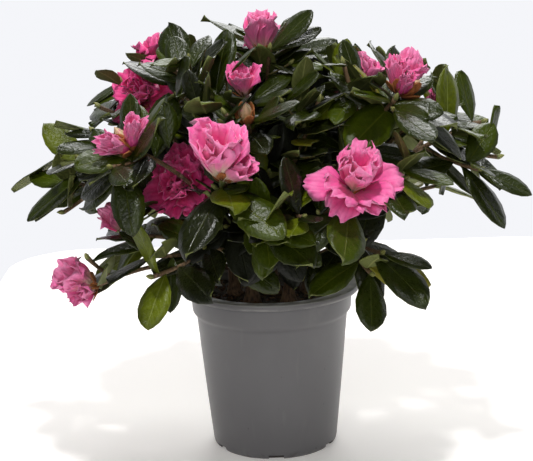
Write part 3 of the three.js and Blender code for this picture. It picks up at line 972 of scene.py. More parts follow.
    @staticmethod
    def _among_petals(leaf: Leaf, head: Head) -> bool:
        """Whether a leaf would stick into a flower head."""
        room = HEAD_ROOMS[head.bloom]
        middle = head.base + head.axis * room.rim_height * 0.85 * head.size
        spots = leaf.root + leaf.along * leaf.length * np.array((0.5, 0.7, 0.9, 1.1))[:, None]
        return bool((np.linalg.norm(spots - middle, axis=1) < room.spread * head.size).any())


# Shapes


@dataclass(frozen=True, eq=False)
class Template:
    """A small shape that many pieces of the plant repeat."""

    points: Array
    corners: Array
    totals: Array
    maps: Array
    slots: Array

    @classmethod
    def of(cls, shape: Shape) -> "Template":
        """Takes a shape over from a bmesh, which is freed.

        Args:
            shape: The shape, with its own map if it has one.

        Returns:
            The template.
        """
        shape.verts.index_update()
        layer = shape.loops.layers.uv.get(SURFACE_MAP)
        loops = [loop for face in shape.faces for loop in face.loops]
        maps = [tuple(loop[layer].uv) if layer else (0.0, 0.0) for loop in loops]
        made = cls(
            np.array([vert.co[:] for vert in shape.verts]),
            np.array([loop.vert.index for loop in loops]),
            np.array([len(face.verts) for face in shape.faces]),
            np.array(maps),
            np.array([face.material_index for face in shape.faces]),
        )
        shape.free()
        return made

    @property
    def shares(self) -> Array:
        """How far along a rod each of its points lies."""
        return self.points[:, 2]

    @property
    def turns(self) -> Array:
        """Where about a rod each of its points lies, in radians."""
        return np.arctan2(self.points[:, 1], self.points[:, 0])


@dataclass(frozen=True, eq=False)
class Gathering:
    """Many small shapes joined into one mesh."""

    shapes: list[tuple[Template, Array, int]] = field(default_factory=list)

    def add(self, template: Template, points: Array, slot: int = 0) -> None:
        """Adds a shape with its points in place, in millimetres, and its slots moved on by some."""
        self.shapes.append((template, points, slot))

    def mesh(self, name: str) -> Mesh:
        """Makes the joined mesh, in metres and smooth.

        Args:
            name: The mesh's name.

        Returns:
            The mesh.
        """
        mesh = bpy.data.meshes.new(name)
        templates, places, slots = zip(*self.shapes)
        points, sizes = np.concatenate(places) * MM, [len(place) for place in places]
        firsts = np.cumsum(sizes) - sizes
        corners = np.concatenate([shape.corners + first for shape, first in zip(templates, firsts)])
        totals = np.concatenate([shape.totals for shape in templates])
        chosen = np.concatenate([shape.slots + slot for shape, slot in zip(templates, slots)])
        mesh.vertices.add(len(points))
        mesh.vertices.foreach_set("co", points.astype(np.float32).ravel())
        mesh.loops.add(len(corners))
        mesh.polygons.add(len(totals))
        mesh.polygons.foreach_set("loop_start", (np.cumsum(totals) - totals).astype(np.int32))
        mesh.polygons.foreach_set("vertices", corners.astype(np.int32))
        mesh.polygons.foreach_set("material_index", chosen.astype(np.int32))
        layer = mesh.uv_layers.new(name=SURFACE_MAP)
        maps = np.concatenate([shape.maps for shape in templates])
        layer.data.foreach_set("uv", maps.astype(np.float32).ravel())
        mesh.update(calc_edges=True)
        mesh.shade_smooth()
        return mesh


def placed(template: Template, root: Array, along: Array, up: Array, size: float) -> Array:
    """A template's points, rooted and sized in millimetres, its +X turned along and its +Z turned up."""
    return root + (template.points * size) @ np.array((along, np.cross(up, along), up))


def linked(name: str, data: bpy.types.ID) -> bpy.types.Object:
    """A new object of the scene."""
    made = bpy.data.objects.new(name, data)
    bpy.context.scene.collection.objects.link(made)
    return made


def taken(shape: Shape, name: str) -> Mesh:
    """Takes a bmesh over into a mesh."""
    mesh = bpy.data.meshes.new(name)
    shape.to_mesh(mesh)
    shape.free()
    return mesh


def outward(shape: Shape) -> None:
    """Turns all the faces of a shape outwards."""
    bmesh.ops.recalc_face_normals(shape, faces=shape.faces)


def turned(profile: Iterable[tuple[float, float]], steps: int) -> Shape:
    """Turns a profile about the pot's axis.

    Args:
        profile: Its radii and heights, in millimetres.
        steps: How many faces go round.

    Returns:
        The turned shape.
    """
    shape = bmesh.new()
    verts = [shape.verts.new((radius * MM, 0, height * MM)) for radius, height in profile]
    line = verts + [shape.edges.new(pair) for pair in zip(verts, verts[1:])]
    whole = {"cent": (0, 0, 0), "axis": (0, 0, 1), "angle": math.tau, "use_merge": True}
    bmesh.ops.spin(shape, geom=line, steps=steps, **whole)
    bmesh.ops.remove_doubles(shape, verts=shape.verts, dist=1e-6)
    return shape


def dress(name: str, mesh: Mesh, materials: Iterable[Material], nodes: Iterable[str]) -> None:
    """Makes a finished piece of the object and reports it.

    Args:
        name: The piece's name.
        mesh: Its mesh, in place.
        materials: Its materials in the order of its slots.
        nodes: The solids that it stands for.
    """
    for material in materials:
        mesh.materials.append(material)
    piece = linked(name, mesh)
    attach(piece, BODY)
    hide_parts(*nodes)
    mesh.calc_loop_triangles()
    LOG.info("piece %s: %d triangles", name, len(mesh.loop_triangles))


def mapped(shape: Shape, where: Callable[[Vector], tuple[float, float]]) -> None:
    """Lays a shape's own map over it.

    Args:
        shape: The shape.
        where: The place on the map of a point of the shape.
    """
    layer = shape.loops.layers.uv.new(SURFACE_MAP)
    for face in shape.faces:
        for loop in face.loops:
            loop[layer].uv = where(loop.vert.co)


@dataclass(frozen=True)
class LeafShape:
    """The shape of a leaf, in shares of its length: elliptic, folded along its midrib and drooping."""

    width: float = 0.50
    fold: float = 0.09
    droop: float = 0.10
    twist: float = 0.0
    wave: float = 0.0
    thickness: float = 0.012
    rows: tuple[float, ...] = (0.0, 0.06, 0.17, 0.33, 0.52, 0.70, 0.86, 0.95, 1.0)
    widths: tuple[float, ...] = (0.09, 0.11, 0.43, 0.79, 1.0, 0.96, 0.68, 0.33, 0.02)

    def half(self, forth: float) -> float:
        """Half the leaf's width at a share of its length."""
        return self.width / 2 * float(np.interp(forth, self.rows, self.widths))

    def template(self) -> Template:
        """Builds the leaf: its upper face and edge take slot 0, its underside slot 1."""
        shape = bmesh.new()
        bmesh.ops.create_grid(shape, x_segments=len(self.rows) - 1, y_segments=4, size=0.5)
        for vert in shape.verts:
            forth = self.rows[round((vert.co.x + 0.5) * (len(self.rows) - 1))]
            aside = vert.co.y * 2
            lift = self.fold * (1.9 * abs(aside) - 1.8 * aside**2) * math.sin(math.pi * forth**0.8)
            lift += self.wave * math.sin(forth * 9 + aside) * abs(aside) + self.twist * aside * forth**2
            vert.co = Vector((forth, aside * self.half(forth), lift - self.droop * forth**1.7))
        outward(shape)
        if shape.faces[:][0].normal.z < 0:
            bmesh.ops.reverse_faces(shape, faces=shape.faces)
        upper = set(shape.faces)
        bmesh.ops.solidify(shape, geom=shape.faces[:], thickness=self.thickness)
        outward(shape)
        for face in shape.faces:
            face.material_index = 0 if face in upper or abs(face.normal.z) < 0.35 else 1
        mapped(shape, lambda co: (co.x, 0.5 + co.y / max(1e-4, 2 * self.half(co.x))))
        return Template.of(shape)


@dataclass(frozen=True)
class PetalShape:
    """The shape of a petal, in shares of its length: a narrow claw and a broad ruffled blade."""

    width: float = 0.95
    curl: float = 0.22
    bowl: float = 0.6
    ruffle: float = 0.06
    waves: float = 2.4
    phase: float = 0.0
    thickness: float = 0.012

    def place(self, forth: float, aside: float) -> Vector:
        """A point of the petal's middle surface.

        Args:
            forth: The share of its length.
            aside: The share of its half width, to either side.

        Returns:
            The point, with the petal's length along +X and its inner face towards +Z.
        """
        half = self.width / 2 * (0.16 + 0.84 * math.sin(math.pi / 2 * min(1.0, forth * 1.25)) ** 1.4)
        half *= 1 - 0.2 * max(0.0, (forth - 0.7) / 0.3) ** 2
        bend = half * aside * self.bowl
        edge = self.waves * math.pi * aside + self.phase
        fringe = 0.04 * math.sin(edge * 1.9 + self.phase) * forth**3
        reach = forth * (1 - 0.28 * abs(aside) ** 2.6 * forth + fringe)
        swell = forth**2.2 * math.sin(edge) * (0.5 + 0.5 * abs(aside))
        swell += 0.5 * forth**4 * math.cos(edge * 1.8 - self.phase)
        crease = 0.025 * math.sin(forth * 7 + self.phase * 3) * math.cos(aside * 4 + self.phase)
        frill = 0.6 * self.ruffle * forth**4 * math.sin(aside * 9 + self.phase * 2)
        lift = self.ruffle * swell + frill + crease - self.curl * forth**2.4
        return Vector((reach, math.sin(bend) / self.bowl, lift + (1 - math.cos(bend)) / self.bowl))

    def template(self) -> Template:
        """Builds the petal: its inner face takes slot 0, its outer face and edge slot 1."""
        shape = bmesh.new()
        bmesh.ops.create_grid(shape, x_segments=6, y_segments=12, size=0.5)
        mapped(shape, lambda co: (co.x + 0.5, co.y + 0.5))
        for vert in shape.verts:
            vert.co = self.place(vert.co.x + 0.5, vert.co.y * 2)
        shape.normal_update()
        if sum(face.normal.z for face in shape.faces) < 0:
            bmesh.ops.reverse_faces(shape, faces=shape.faces)
        inner = set(shape.faces)
        bmesh.ops.solidify(shape, geom=shape.faces[:], thickness=self.thickness)
        outward(shape)
        for face in shape.faces:
            face.material_index = 0 if face in inner else 1
        return Template.of(shape)


@dataclass(frozen=True)
class BudShape:
    """The shape of a closed bud, in shares of its length: a spindle with a drawn-out point."""

    width: float = 0.52
    belly: float = 0.42
    flutes: int = 5
    fluting: float = 0.07

    def template(self) -> Template:
        """Builds the bud along +X."""
        shape, draw = bmesh.new(), math.log(0.5) / math.log(self.belly)
        bmesh.ops.create_uvsphere(shape, u_segments=10, v_segments=8, radius=1.0)
        for vert in shape.verts:
            forth = (vert.co.z + 1) / 2
            turn = math.atan2(vert.co.y, vert.co.x)
            swell = math.sin(math.pi * forth**draw) ** 0.85 if 0 < forth < 1 else 0.0
            radius = self.width / 2 * swell * (1 + self.fluting * math.cos(self.flutes * turn + forth * 2.5))
            vert.co = Vector((forth, radius * math.cos(turn), radius * math.sin(turn)))
        bmesh.ops.remove_doubles(shape, verts=shape.verts, dist=1e-5)
        outward(shape)
        mapped(shape, lambda co: (co.x, math.atan2(co.z, co.y) / math.tau + 0.5))
        return Template.of(shape)


@dataclass(frozen=True)
class RodShape:
    """The shape of a round limb: a straight rod that is bent along a curve."""

    sides: int = 8
    steps: int = 6

    def template(self) -> Template:
        """Builds the rod along +Z from 0 to 1, with radius 1 and closed ends."""
        shape = bmesh.new()
        ring = bmesh.ops.create_circle(shape, segments=self.sides, radius=1.0)
        rim = list({edge for vert in ring["verts"] for edge in vert.link_edges})
        for _ in range(self.steps):
            made = bmesh.ops.extrude_edge_only(shape, edges=rim)["geom"]
            verts = [part for part in made if isinstance(part, bmesh.types.BMVert)]
            bmesh.ops.translate(shape, verts=verts, vec=(0, 0, 1 / self.steps))
            rim = [part for part in made if isinstance(part, bmesh.types.BMEdge) and part.is_boundary]
        bmesh.ops.holes_fill(shape, edges=[edge for edge in shape.edges if edge.is_boundary])
        outward(shape)
        mapped(shape, lambda co: (co.z, abs(math.atan2(co.y, co.x)) / math.pi))
        return Template.of(shape)


def bent(rod: Template, curve: Curve, radii: float | Array) -> Array:
    """A rod's points, bent along a curve.

    Args:
        rod: The rod.
        curve: The curve that it follows.
        radii: Its radius, at each of its points or everywhere.

    Returns:
        The points in place.
    """
    ways = curve.way(rod.shares)
    helper = np.array((0.31, 0.95, 0.05)) if abs(ways[0][2]) > 0.8 else UP
    side = np.cross(helper, ways)
    side /= np.linalg.norm(side, axis=1, keepdims=True)
    other = np.cross(ways, side)
    aside, above = radii * np.cos(rod.turns), radii * np.sin(rod.turns)
    return curve.at(rod.shares) + side * aside[:, None] + other * above[:, None]


# Finishes


@dataclass(frozen=True, eq=False)
class Value:
    """A number that a node of a material gives, with arithmetic that adds Math nodes."""

    shader: "Shader"
    socket: bpy.types.NodeSocket

    def _sum(self, operation: str, first: "Value | float", second: "Value | float") -> "Value":
        """A Math node on two values."""
        return self.shader.node("ShaderNodeMath", {"operation": operation}, {0: first, 1: second})

    def __add__(self, other: "Value | float") -> "Value":
        """This value and another."""
        return self._sum("ADD", self, other)

    def __sub__(self, other: "Value | float") -> "Value":
        """This value less another."""
        return self._sum("SUBTRACT", self, other)

    def __rsub__(self, other: float) -> "Value":
        """A number less this value."""
        return self._sum("SUBTRACT", other, self)

    def __mul__(self, other: "Value | float") -> "Value":
        """This value times another."""
        return self._sum("MULTIPLY", self, other)

    def __pow__(self, other: float) -> "Value":
        """This value to a power."""
        return self._sum("POWER", self, other)

    def __abs__(self) -> "Value":
        """This value without its sign."""
        return self.shader.node("ShaderNodeMath", {"operation": "ABSOLUTE"}, {0: self})

    def sine(self) -> "Value":
        """The sine of this value, in radians."""
        return self.shader.node("ShaderNodeMath", {"operation": "SINE"}, {0: self})

    def step(self, low: float, high: float) -> "Value":
        """A smooth step from 0 at one value to 1 at another."""
        ends = {"Value": self, "From Min": low, "From Max": high}
        return self.shader.node("ShaderNodeMapRange", {"interpolation_type": "SMOOTHSTEP"}, ends)

    def band(self, low: float, full: float, fading: float, high: float) -> "Value":
        """A smooth band that rises between two values and falls between two others."""
        return self.step(low, full) - self.step(fading, high)

    __radd__, __rmul__ = __add__, __mul__


Feed = Value | float | Sequence[float]


class Shader:
    """The nodes of one material, or of the world."""

    def __init__(self, name: str, world: bool = False) -> None:
        """Starts a material with its standard surface, or a world with its background."""
        self._owner = (bpy.data.worlds if world else bpy.data.materials).new(name)
        self._owner.use_nodes = True
        self._tree = self._owner.node_tree
        self._surface = self._tree.nodes["Background" if world else "Principled BSDF"]

    def node(
        self, kind: str, settings: dict[str, object], inputs: dict[str | int, Feed], output: str | int = 0
    ) -> Value:
        """Adds a node.

        Args:
            kind: The node's type.
            settings: Its settings, which are set first.
            inputs: The values or links of its sockets.
            output: The output that is wanted.

        Returns:
            That output.
        """
        made = self._tree.nodes.new(kind)
        for name, setting in settings.items():
            setattr(made, name, setting)
        for key, value in inputs.items():
            self._feed(made.inputs[key], value)
        return Value(self, made.outputs[output])

    def _feed(self, socket: bpy.types.NodeSocket, value: Feed) -> None:
        """Links a value to a socket, or sets a number or colour on it."""
        if isinstance(value, Value):
            self._tree.links.new(value.socket, socket)
        elif socket.type == "RGBA" and len(value) == 3:
            socket.default_value = (*value, 1.0)
        else:
            socket.default_value = value

    def place(self) -> Value:
        """Where a point lies on the object."""
        return self.node("ShaderNodeTexCoord", {}, {}, "Object")

    def parts(self, spot: Value) -> tuple[Value, ...]:
        """The parts of a place along each axis."""
        made = self.node("ShaderNodeSeparateXYZ", {}, {0: spot})
        return tuple(Value(self, socket) for socket in made.socket.node.outputs)

    def map(self) -> tuple[Value, ...]:
        """Where a point lies on the piece's own map, along and across."""
        return self.parts(self.node("ShaderNodeUVMap", {"uv_map": SURFACE_MAP}, {}))[:2]

    def noise(self, scale: float, detail: float = 2.0, stretch: Sequence[float] = (1, 1, 1)) -> Value:
        """A soft noise from 0 to 1: its lumps in a metre, its detail and its squeeze along each axis."""
        spot = self.node("ShaderNodeMapping", {}, {"Vector": self.place(), "Scale": stretch})
        return self.node("ShaderNodeTexNoise", {}, {"Vector": spot, "Scale": scale, "Detail": detail}, "Fac")

    def blend(self, first: Value | Colour, second: Value | Colour, share: Value | float) -> Value:
        """A colour a share of the way from the first to the second."""
        return self.node("ShaderNodeMix", {"data_type": "RGBA"}, {0: share, 6: first, 7: second}, 2)

    def shaded(self, colour: Colour, low: float, high: float, share: Value) -> Value:
        """A colour that runs from a darker to a lighter shade of itself."""
        return self.blend(scaled(colour, low), scaled(colour, high), share)

    def bump(self, height: Value, strength: float, depth: float) -> Value:
        """A surface normal from a height, its strength and its depth in metres."""
        return self.node("ShaderNodeBump", {}, {"Strength": strength, "Distance": depth, "Height": height})

    def finish(self, inputs: dict[str, Feed]) -> Material | bpy.types.World:
        """Feeds the surface or the background and gives the finished material or world."""
        for name, value in inputs.items():
            self._feed(self._surface.inputs[name], value)
        return self._owner


@dataclass(frozen=True)
class PlasticFinish:
    """Moulded grey plastic, matt, with a fine grain, dust below the rim, dirt splashed at the foot, darker
    drain slots, worn edges, and painted shade in thin bands under the lip and at the foot of the collar.

    The heights and the reach that its marks keep to are the pot's, in metres.
    """

    colour: Colour = paint(99, 98, 100)
    dust: Colour = paint(150, 148, 145)
    speck: Colour = paint(52, 46, 42)
    drain_top: float = 0.0035
    drain_reach: float = 0.0442
    wall_top: float = 0.0994
    lip_foot: float = 0.1175
    lip_top: float = 0.1220

    def material(self, name: str) -> Material:
        """Makes the finish."""
        shader = Shader(name)
        cloud = shader.noise(28, 4)
        scuff = shader.noise(140, 3, (1, 1, 0.12))
        grain = shader.noise(2600, 2)
        ahead, aside, height = shader.parts(shader.place())
        reach = (ahead * ahead + aside * aside) ** 0.5
        film = height.step(0.07, 0.121) * cloud.step(0.45, 0.75) * 0.28 + scuff.step(0.62, 0.8) * 0.10
        spots = shader.noise(330, 2).step(0.735, 0.76) * 0.55
        drain, wall, lip, top = self.drain_top, self.wall_top, self.lip_foot, self.lip_top
        # darker inside the drain slots and over the pot's floor that they open onto
        slot = 1 - height.step(drain - 0.0001, drain + 0.0003)
        slot = slot * (1 - reach.step(self.drain_reach - 0.0004, self.drain_reach + 0.0004))
        splash = (1 - height.step(0.001, 0.007)) * shader.noise(110, 3).step(0.46, 0.64)
        # the darker drain slots, and dirt splashed round the foot
        dirt_and_dark_slots = slot * 0.85 + splash * 0.6
        # painted shade: darker bands just under the lip and at the foot of the collar, where their overhangs
        # cast shade
        painted_shade = height.band(lip - 0.0040, lip - 0.0007, lip - 0.0005, lip - 0.0001) * 0.5
        painted_shade = painted_shade + height.band(wall - 0.0024, wall, wall + 0.0004, wall + 0.0026) * 0.22
        edge = height.band(lip - 0.0011, lip - 0.0003, top - 0.0036, top - 0.0026)
        edge = edge + height.step(top - 0.0016, top - 0.0006)
        worn = edge * shader.noise(60, 3, (1, 1, 5)).step(0.38, 0.62) * 0.55
        body = shader.shaded(self.colour, 0.93, 1.06, cloud)
        # blends in the painted shade under the lip and the collar
        body = shader.blend(body, scaled(self.colour, 0.5), painted_shade)
        for mark, share in ((self.dust, film), (self.dust, worn), (self.speck, spots), (self.speck, dirt_and_dark_slots)):
            body = shader.blend(body, mark, share)
        rough = 0.36 + cloud * 0.10 + film * 0.2
        normal = shader.bump(grain + scuff * 0.6, 0.25, 0.00012)
        return shader.finish(
            {"Base Color": body, "Roughness": rough, "Normal": normal, "Specular IOR Level": 0.42}
        )


@dataclass(frozen=True)
class PeatFinish:
    """Damp peat: dark crumbs with red-brown fibres."""

    colour: Colour = paint(38, 25, 18)
    fibre: Colour = paint(92, 56, 36)

    def material(self, name: str) -> Material:
        """Makes the finish."""
        shader = Shader(name)
        crumbs = shader.noise(420, 5)
        fibres = shader.noise(300, 4, (1, 0.25, 1))
        body = shader.shaded(self.colour, 0.7, 1.4, crumbs.step(0.3, 0.7))
        body = shader.blend(body, self.fibre, fibres.step(0.56, 0.7) * 0.75)
        normal = shader.bump(crumbs + fibres * 0.5, 0.9, 0.002)
        return shader.finish({"Base Color": body, "Roughness": 0.78 + crumbs * 0.2, "Normal": normal})


@dataclass(frozen=True)
class BarkFinish:
    """Bark in lengthwise flakes, with lichen-grey ridges over darker furrows."""

    colour: Colour
    ridge: Colour
    furrow: Colour
    roughness: float = 0.72

    def material(self, name: str) -> Material:
        """Makes the finish."""
        shader = Shader(name)
        flakes = shader.noise(900, 4, (1, 1, 0.22))
        patches = shader.noise(160, 3)
        body = shader.blend(self.furrow, self.colour, flakes.step(0.34, 0.56))
        body = shader.blend(body, self.ridge, flakes.step(0.55, 0.78) * patches.step(0.4, 0.7) * 0.8)
        normal = shader.bump(flakes, 0.7, 0.0006)
        rough = self.roughness + patches * 0.15
        return shader.finish({"Base Color": body, "Roughness": rough, "Normal": normal})


@dataclass(frozen=True)
class LeafFinish:
    """The upper face of a leaf: leathery, quilted between its veins, with a thin pale midrib and a pale edge
    that is partly its own margin and partly a painted edge highlight.
    """

    colour: Colour
    vein: Colour
    roughness: float = 0.17
    gloss: float = 0.34

    def material(self, name: str) -> Material:
        """Makes the finish."""
        shader = Shader(name)
        forth, wide = shader.map()
        aside = abs(wide * 2 - 1)
        cloud = shader.noise(60, 2)
        lumps = shader.noise(300, 3)
        grain = shader.noise(1100, 2)
        veins = abs(((forth * 6.5 - aside * 1.7 - aside**2 * 0.6 + cloud * 0.7) * math.pi).sine()) ** 0.5
        rib = 1 - aside.step(0.01, 0.06)
        # the pale edge: partly the leaf's own margin, partly a painted highlight along it
        brim = aside.step(0.93, 0.99)
        body = shader.shaded(self.colour, 0.7, 1.3, (cloud + lumps * 0.5).step(0.45, 1.0))
        body = shader.blend(body, self.vein, rib * 0.36 + brim * 0.26 + (1 - veins) * 0.10)
        rough = self.roughness + lumps * 0.16 + grain * 0.10
        quilt = shader.noise(520, 2).step(0.3, 0.7)
        normal = shader.bump(veins * 0.3 - rib * 0.9 + lumps * 0.3 + quilt * 0.4 + grain * 0.4, 0.55, 0.0007)
        return shader.finish(
            {"Base Color": body, "Roughness": rough, "Normal": normal, "Specular IOR Level": self.gloss}
        )


@dataclass(frozen=True)
class UndersideFinish:
    """The underside of a leaf: matt olive with a raised midrib."""

    colour: Colour = paint(98, 106, 48)
    vein: Colour = paint(140, 144, 80)

    def material(self, name: str) -> Material:
        """Makes the finish."""
        shader = Shader(name)
        forth, wide = shader.map()
        aside = abs(wide * 2 - 1)
        rib = 1 - aside.step(0.02, 0.12)
        net = abs(((forth * 9 - aside * 2.4) * math.pi).sine()) ** 0.4
        mottle = shader.noise(90, 3)
        body = shader.shaded(self.colour, 0.8, 1.15, mottle)
        body = shader.blend(body, self.vein, rib * 0.8 + (1 - net) * 0.3)
        normal = shader.bump(rib + (1 - net) * 0.5, 0.5, 0.0006)
        return shader.finish({"Base Color": body, "Roughness": 0.62 + mottle * 0.15, "Normal": normal})


@dataclass(frozen=True)
class PetalFinish:
    """One face of a soft petal: its foot, its blade with fine veins, and its ruffled edge."""

    colour: Colour
    foot: Colour
    brim: Colour
    foot_reach: float = 0.55

    def material(self, name: str) -> Material:
        """Makes the finish."""
        shader = Shader(name)
        forth, wide = shader.map()
        cloud = shader.noise(220, 3)
        veins = abs(((wide - 0.5) * (34 - forth * 12) + cloud * 1.5).sine()) ** 0.5
        body = shader.blend(self.foot, self.colour, forth.step(0.08, self.foot_reach))
        body = shader.blend(body, self.brim, forth.step(0.5, 0.98) * 0.85 * cloud.step(0.2, 0.6))
        body = shader.blend(body, scaled(self.colour, 0.72), (1 - veins) * 0.36)
        crimp = ((wide * 46 + cloud * 4).sine() * 0.5 + 0.5) * forth.step(0.55, 1.0)
        normal = shader.bump(veins * 0.5 + cloud + crimp * 0.8, 0.5, 0.0009)
        rough, softness = 0.48 + cloud * 0.2, {"Sheen Weight": 0.2, "Specular IOR Level": 0.3}
        return shader.finish({"Base Color": body, "Roughness": rough, "Normal": normal, **softness})


@dataclass(frozen=True)
class BudFinish:
    """The skin of a bud, a scale or a stalk: lengthwise streaks from one colour to another."""

    foot: Colour
    tip: Colour
    roughness: float = 0.5

    def material(self, name: str) -> Material:
        """Makes the finish."""
        shader = Shader(name)
        forth, wide = shader.map()
        streaks = shader.noise(700, 3)
        ridges = abs((wide * 19 + forth * 1.5 + streaks).sine())
        body = shader.blend(self.foot, self.tip, (forth + (streaks - 0.5) * 0.7).step(0.15, 0.85))
        body = shader.blend(body, scaled(self.foot, 0.7), (1 - ridges) ** 2 * 0.6)
        normal = shader.bump(streaks + ridges * 0.8, 0.5, 0.0005)
        rough = self.roughness + streaks * 0.2
        return shader.finish({"Base Color": body, "Roughness": rough, "Normal": normal})


@dataclass(frozen=True)
class StageFinish:
    """A plain matt studio surface with the faintest unevenness, lit through from below."""

    colour: Colour
    glow: float = 0.2

    def material(self, name: str) -> Material:
        """Makes the finish."""
        shader = Shader(name)
        cloud = shader.noise(3, 2)
        body = shader.shaded(self.colour, 0.985, 1.0, cloud)
        light = {"Emission Color": (1.0, 0.965, 0.94, 1.0), "Emission Strength": self.glow}
        rough = 0.85 + cloud * 0.05
        return shader.finish({"Base Color": body, "Roughness": rough, "Specular IOR Level": 0.2, **light})


# The pot, its peat and the wood


@dataclass
class Pot:
    """The grower's pot: a tapering wall, a collar under a flat lip, and drain slots round the foot."""

    height: float = 122
    rim: float = 65
    foot: float = 46.3
    foot_top: float = 4
    foot_flat: float = 43.9
    wall: float = 1.6
    belly: tuple[float, float] = (50.0, 40)
    collar: float = 59.5
    collar_draft: float = 1
    collar_foot: float = 103
    wall_top: float = 99.4
    wall_top_radius: float = 55.62
    lip_foot: float = 117.5
    drains: int = 6
    drain_depth: float = 9.6
    drain_width: float = 11
    drain_height: float = 3.5
    steps: int = 120

    def profile(self) -> list[tuple[float, float]]:
        """The wall's radii and heights, from the underside up the outside and down the inside."""
        collar_low = self.collar - self.collar_draft
        outside = [(0, 0), (self.foot_flat, 0), (self.foot_flat + 1.8, 1.6), (self.foot, self.foot_top)]
        outside += [self.belly, (self.wall_top_radius, self.wall_top), (collar_low, self.collar_foot)]
        outside += [(self.collar, self.lip_foot), (self.rim, self.lip_foot), (self.rim, self.height)]
        inside = [(self.collar - self.wall, self.height), (collar_low - self.wall, self.collar_foot)]
        inside += [(self.wall_top_radius - self.wall, self.wall_top), (self.foot - self.wall, self.foot_top)]
        return outside + inside + [(self.foot_flat - self.wall, self.wall), (0, self.wall)]

    def shell(self) -> Shape:
        """Turns the wall about the pot's axis and rounds its hard edges."""
        shape = turned(self.profile(), self.steps)
        outward(shape)
        rounded = {
            (self.rim, self.lip_foot): 0.7,
            (self.rim, self.height): 1.1,
            (self.collar - self.wall, self.height): 0.5,
            (self.collar - self.collar_draft, self.collar_foot): 1.2,
            (self.wall_top_radius, self.wall_top): 1.6,
        }
        for (radius, height), width in rounded.items():
            ring = [edge for edge in shape.edges if self._on_ring(edge, radius, height)]
            bmesh.ops.bevel(
                shape, geom=ring, offset=width * MM, segments=3, profile=0.5, affect="EDGES", material=-1
            )
        outward(shape)
        return shape

    @staticmethod
    def _on_ring(edge: bmesh.types.BMEdge, radius: float, height: float) -> bool:
        """Whether an edge lies on the ring at a radius and a height."""
        spots = ((math.hypot(vert.co.x, vert.co.y) / MM, vert.co.z / MM) for vert in edge.verts)
        return all(abs(out - radius) < 0.02 and abs(up - height) < 0.02 for out, up in spots)

    def cut_drains(self, mesh: Mesh) -> Mesh:
        """Cuts the drain slots through the foot.

        Args:
            mesh: The uncut shell.

        Returns:
            The cut shell.
        """
        cutter = bmesh.new()
        for i in range(self.drains):
            turn = Matrix.Rotation((i + 0.5) * math.tau / self.drains, 4, "Z")
            size = (self.drain_depth * MM, self.drain_width * MM, 2 * self.drain_height * MM, 1)
            slot = Matrix.Translation((self.foot * MM, 0, 0)) @ Matrix.Diagonal(size)
            bmesh.ops.create_cube(cutter, size=1.0, matrix=turn @ slot)
        slots, whole = linked("slots", taken(cutter, "slots")), linked("whole", mesh)
        cut = whole.modifiers.new("Drains", "BOOLEAN")
        cut.operation, cut.object, cut.solver = "DIFFERENCE", slots, "EXACT"
        made = bpy.data.meshes.new_from_object(whole.evaluated_get(bpy.context.evaluated_depsgraph_get()))
        for part in (slots, whole):
            bpy.data.objects.remove(part)
        return made

    def build(self) -> None:
        """Builds and dresses the pot."""
        mesh = self.cut_drains(taken(self.shell(), "pot_shell"))
        mesh.name = "pot_shell"
        mesh.shade_smooth()
        mesh.set_sharp_from_angle(angle=math.radians(38))
        dress("pot_shell", mesh, [PlasticFinish().material("moulded_plastic")], ["pot"])


@dataclass
class Peat:
    """The peat in the pot: a crumbly bed with loose flakes of bark and fibre on it."""

    top: float = 112
    top_radius: float = 56.6
    foot_radius: float = 42.0
    foot: float = 1.9
    shoulder: tuple[float, float] = (53.4, 99.7)
    steps: int = 72
    lump: float = 1.5
    flakes: int = 420
    seed: int = 77

    def bed(self) -> Mesh:
        """Turns the bed about the pot's axis and roughens its top."""
        profile = [(self.foot_radius, self.foot), self.shoulder, (self.top_radius, self.top - 1)]
        profile += [(self.top_radius * (1 - (i / 22) ** 0.9), self.top) for i in range(1, 23)]
        shape = turned(profile, self.steps)
        bmesh.ops.holes_fill(shape, edges=[edge for edge in shape.edges if edge.is_boundary])
        outward(shape)
        for vert in shape.verts:
            if vert.co.z > (self.top - 0.5) * MM:
                x, y = vert.co.x / MM, vert.co.y / MM
                rough = math.sin(x * 0.41 + 1.3) * math.cos(y * 0.37) + 0.6 * math.sin(x * 1.1 - y * 0.9)
                rough += 0.5 * math.cos(x * 1.9 + y * 2.3)
                vert.co.z += self.lump * 0.5 * rough * MM
        bmesh.ops.smooth_vert(shape, verts=shape.verts, factor=0.2, use_axis_z=True)
        mesh = taken(shape, "peat_bed")
        mesh.shade_smooth()
        return mesh

    def litter(self) -> Mesh:
        """Scatters flakes over the bed."""
        shape = bmesh.new()
        bmesh.ops.create_icosphere(shape, subdivisions=1, radius=0.5)
        bmesh.ops.scale(shape, vec=(1.0, 0.55, 0.28), verts=shape.verts)
        mapped(shape, lambda co: (co.x + 0.5, co.y + 0.5))
        flake, gathered, stream = Template.of(shape), Gathering(), Stream(self.seed)
        for _ in range(self.flakes):
            reach = (self.top_radius - 3) * math.sqrt(stream.next())
            root = around(stream.next() * 360, reach, self.top + stream.between(0.2, 1.6))
            up = leaning(UP, stream.between(0, 50), stream.next() * 360)
            along = across(around(stream.next() * 360, 1, 0.1), up)
            size = stream.between(2.0, 6.5)
            gathered.add(flake, placed(flake, root, along, up, size), stream.pick((5, 3, 2)))
        return gathered.mesh("peat_flakes")

    def build(self) -> None:
        """Builds and dresses the peat."""
        dark = PeatFinish()
        dress("peat_bed", self.bed(), [dark.material("damp_peat")], ["peat"])
        finishes = [
            dark.material("dark_flake"),
            PeatFinish(paint(72, 44, 30), paint(118, 76, 48)).material("red_flake"),
            PeatFinish(paint(98, 74, 54), paint(140, 108, 78)).material("tan_flake"),
        ]
        dress("peat_flakes", self.litter(), finishes, ["peat"])


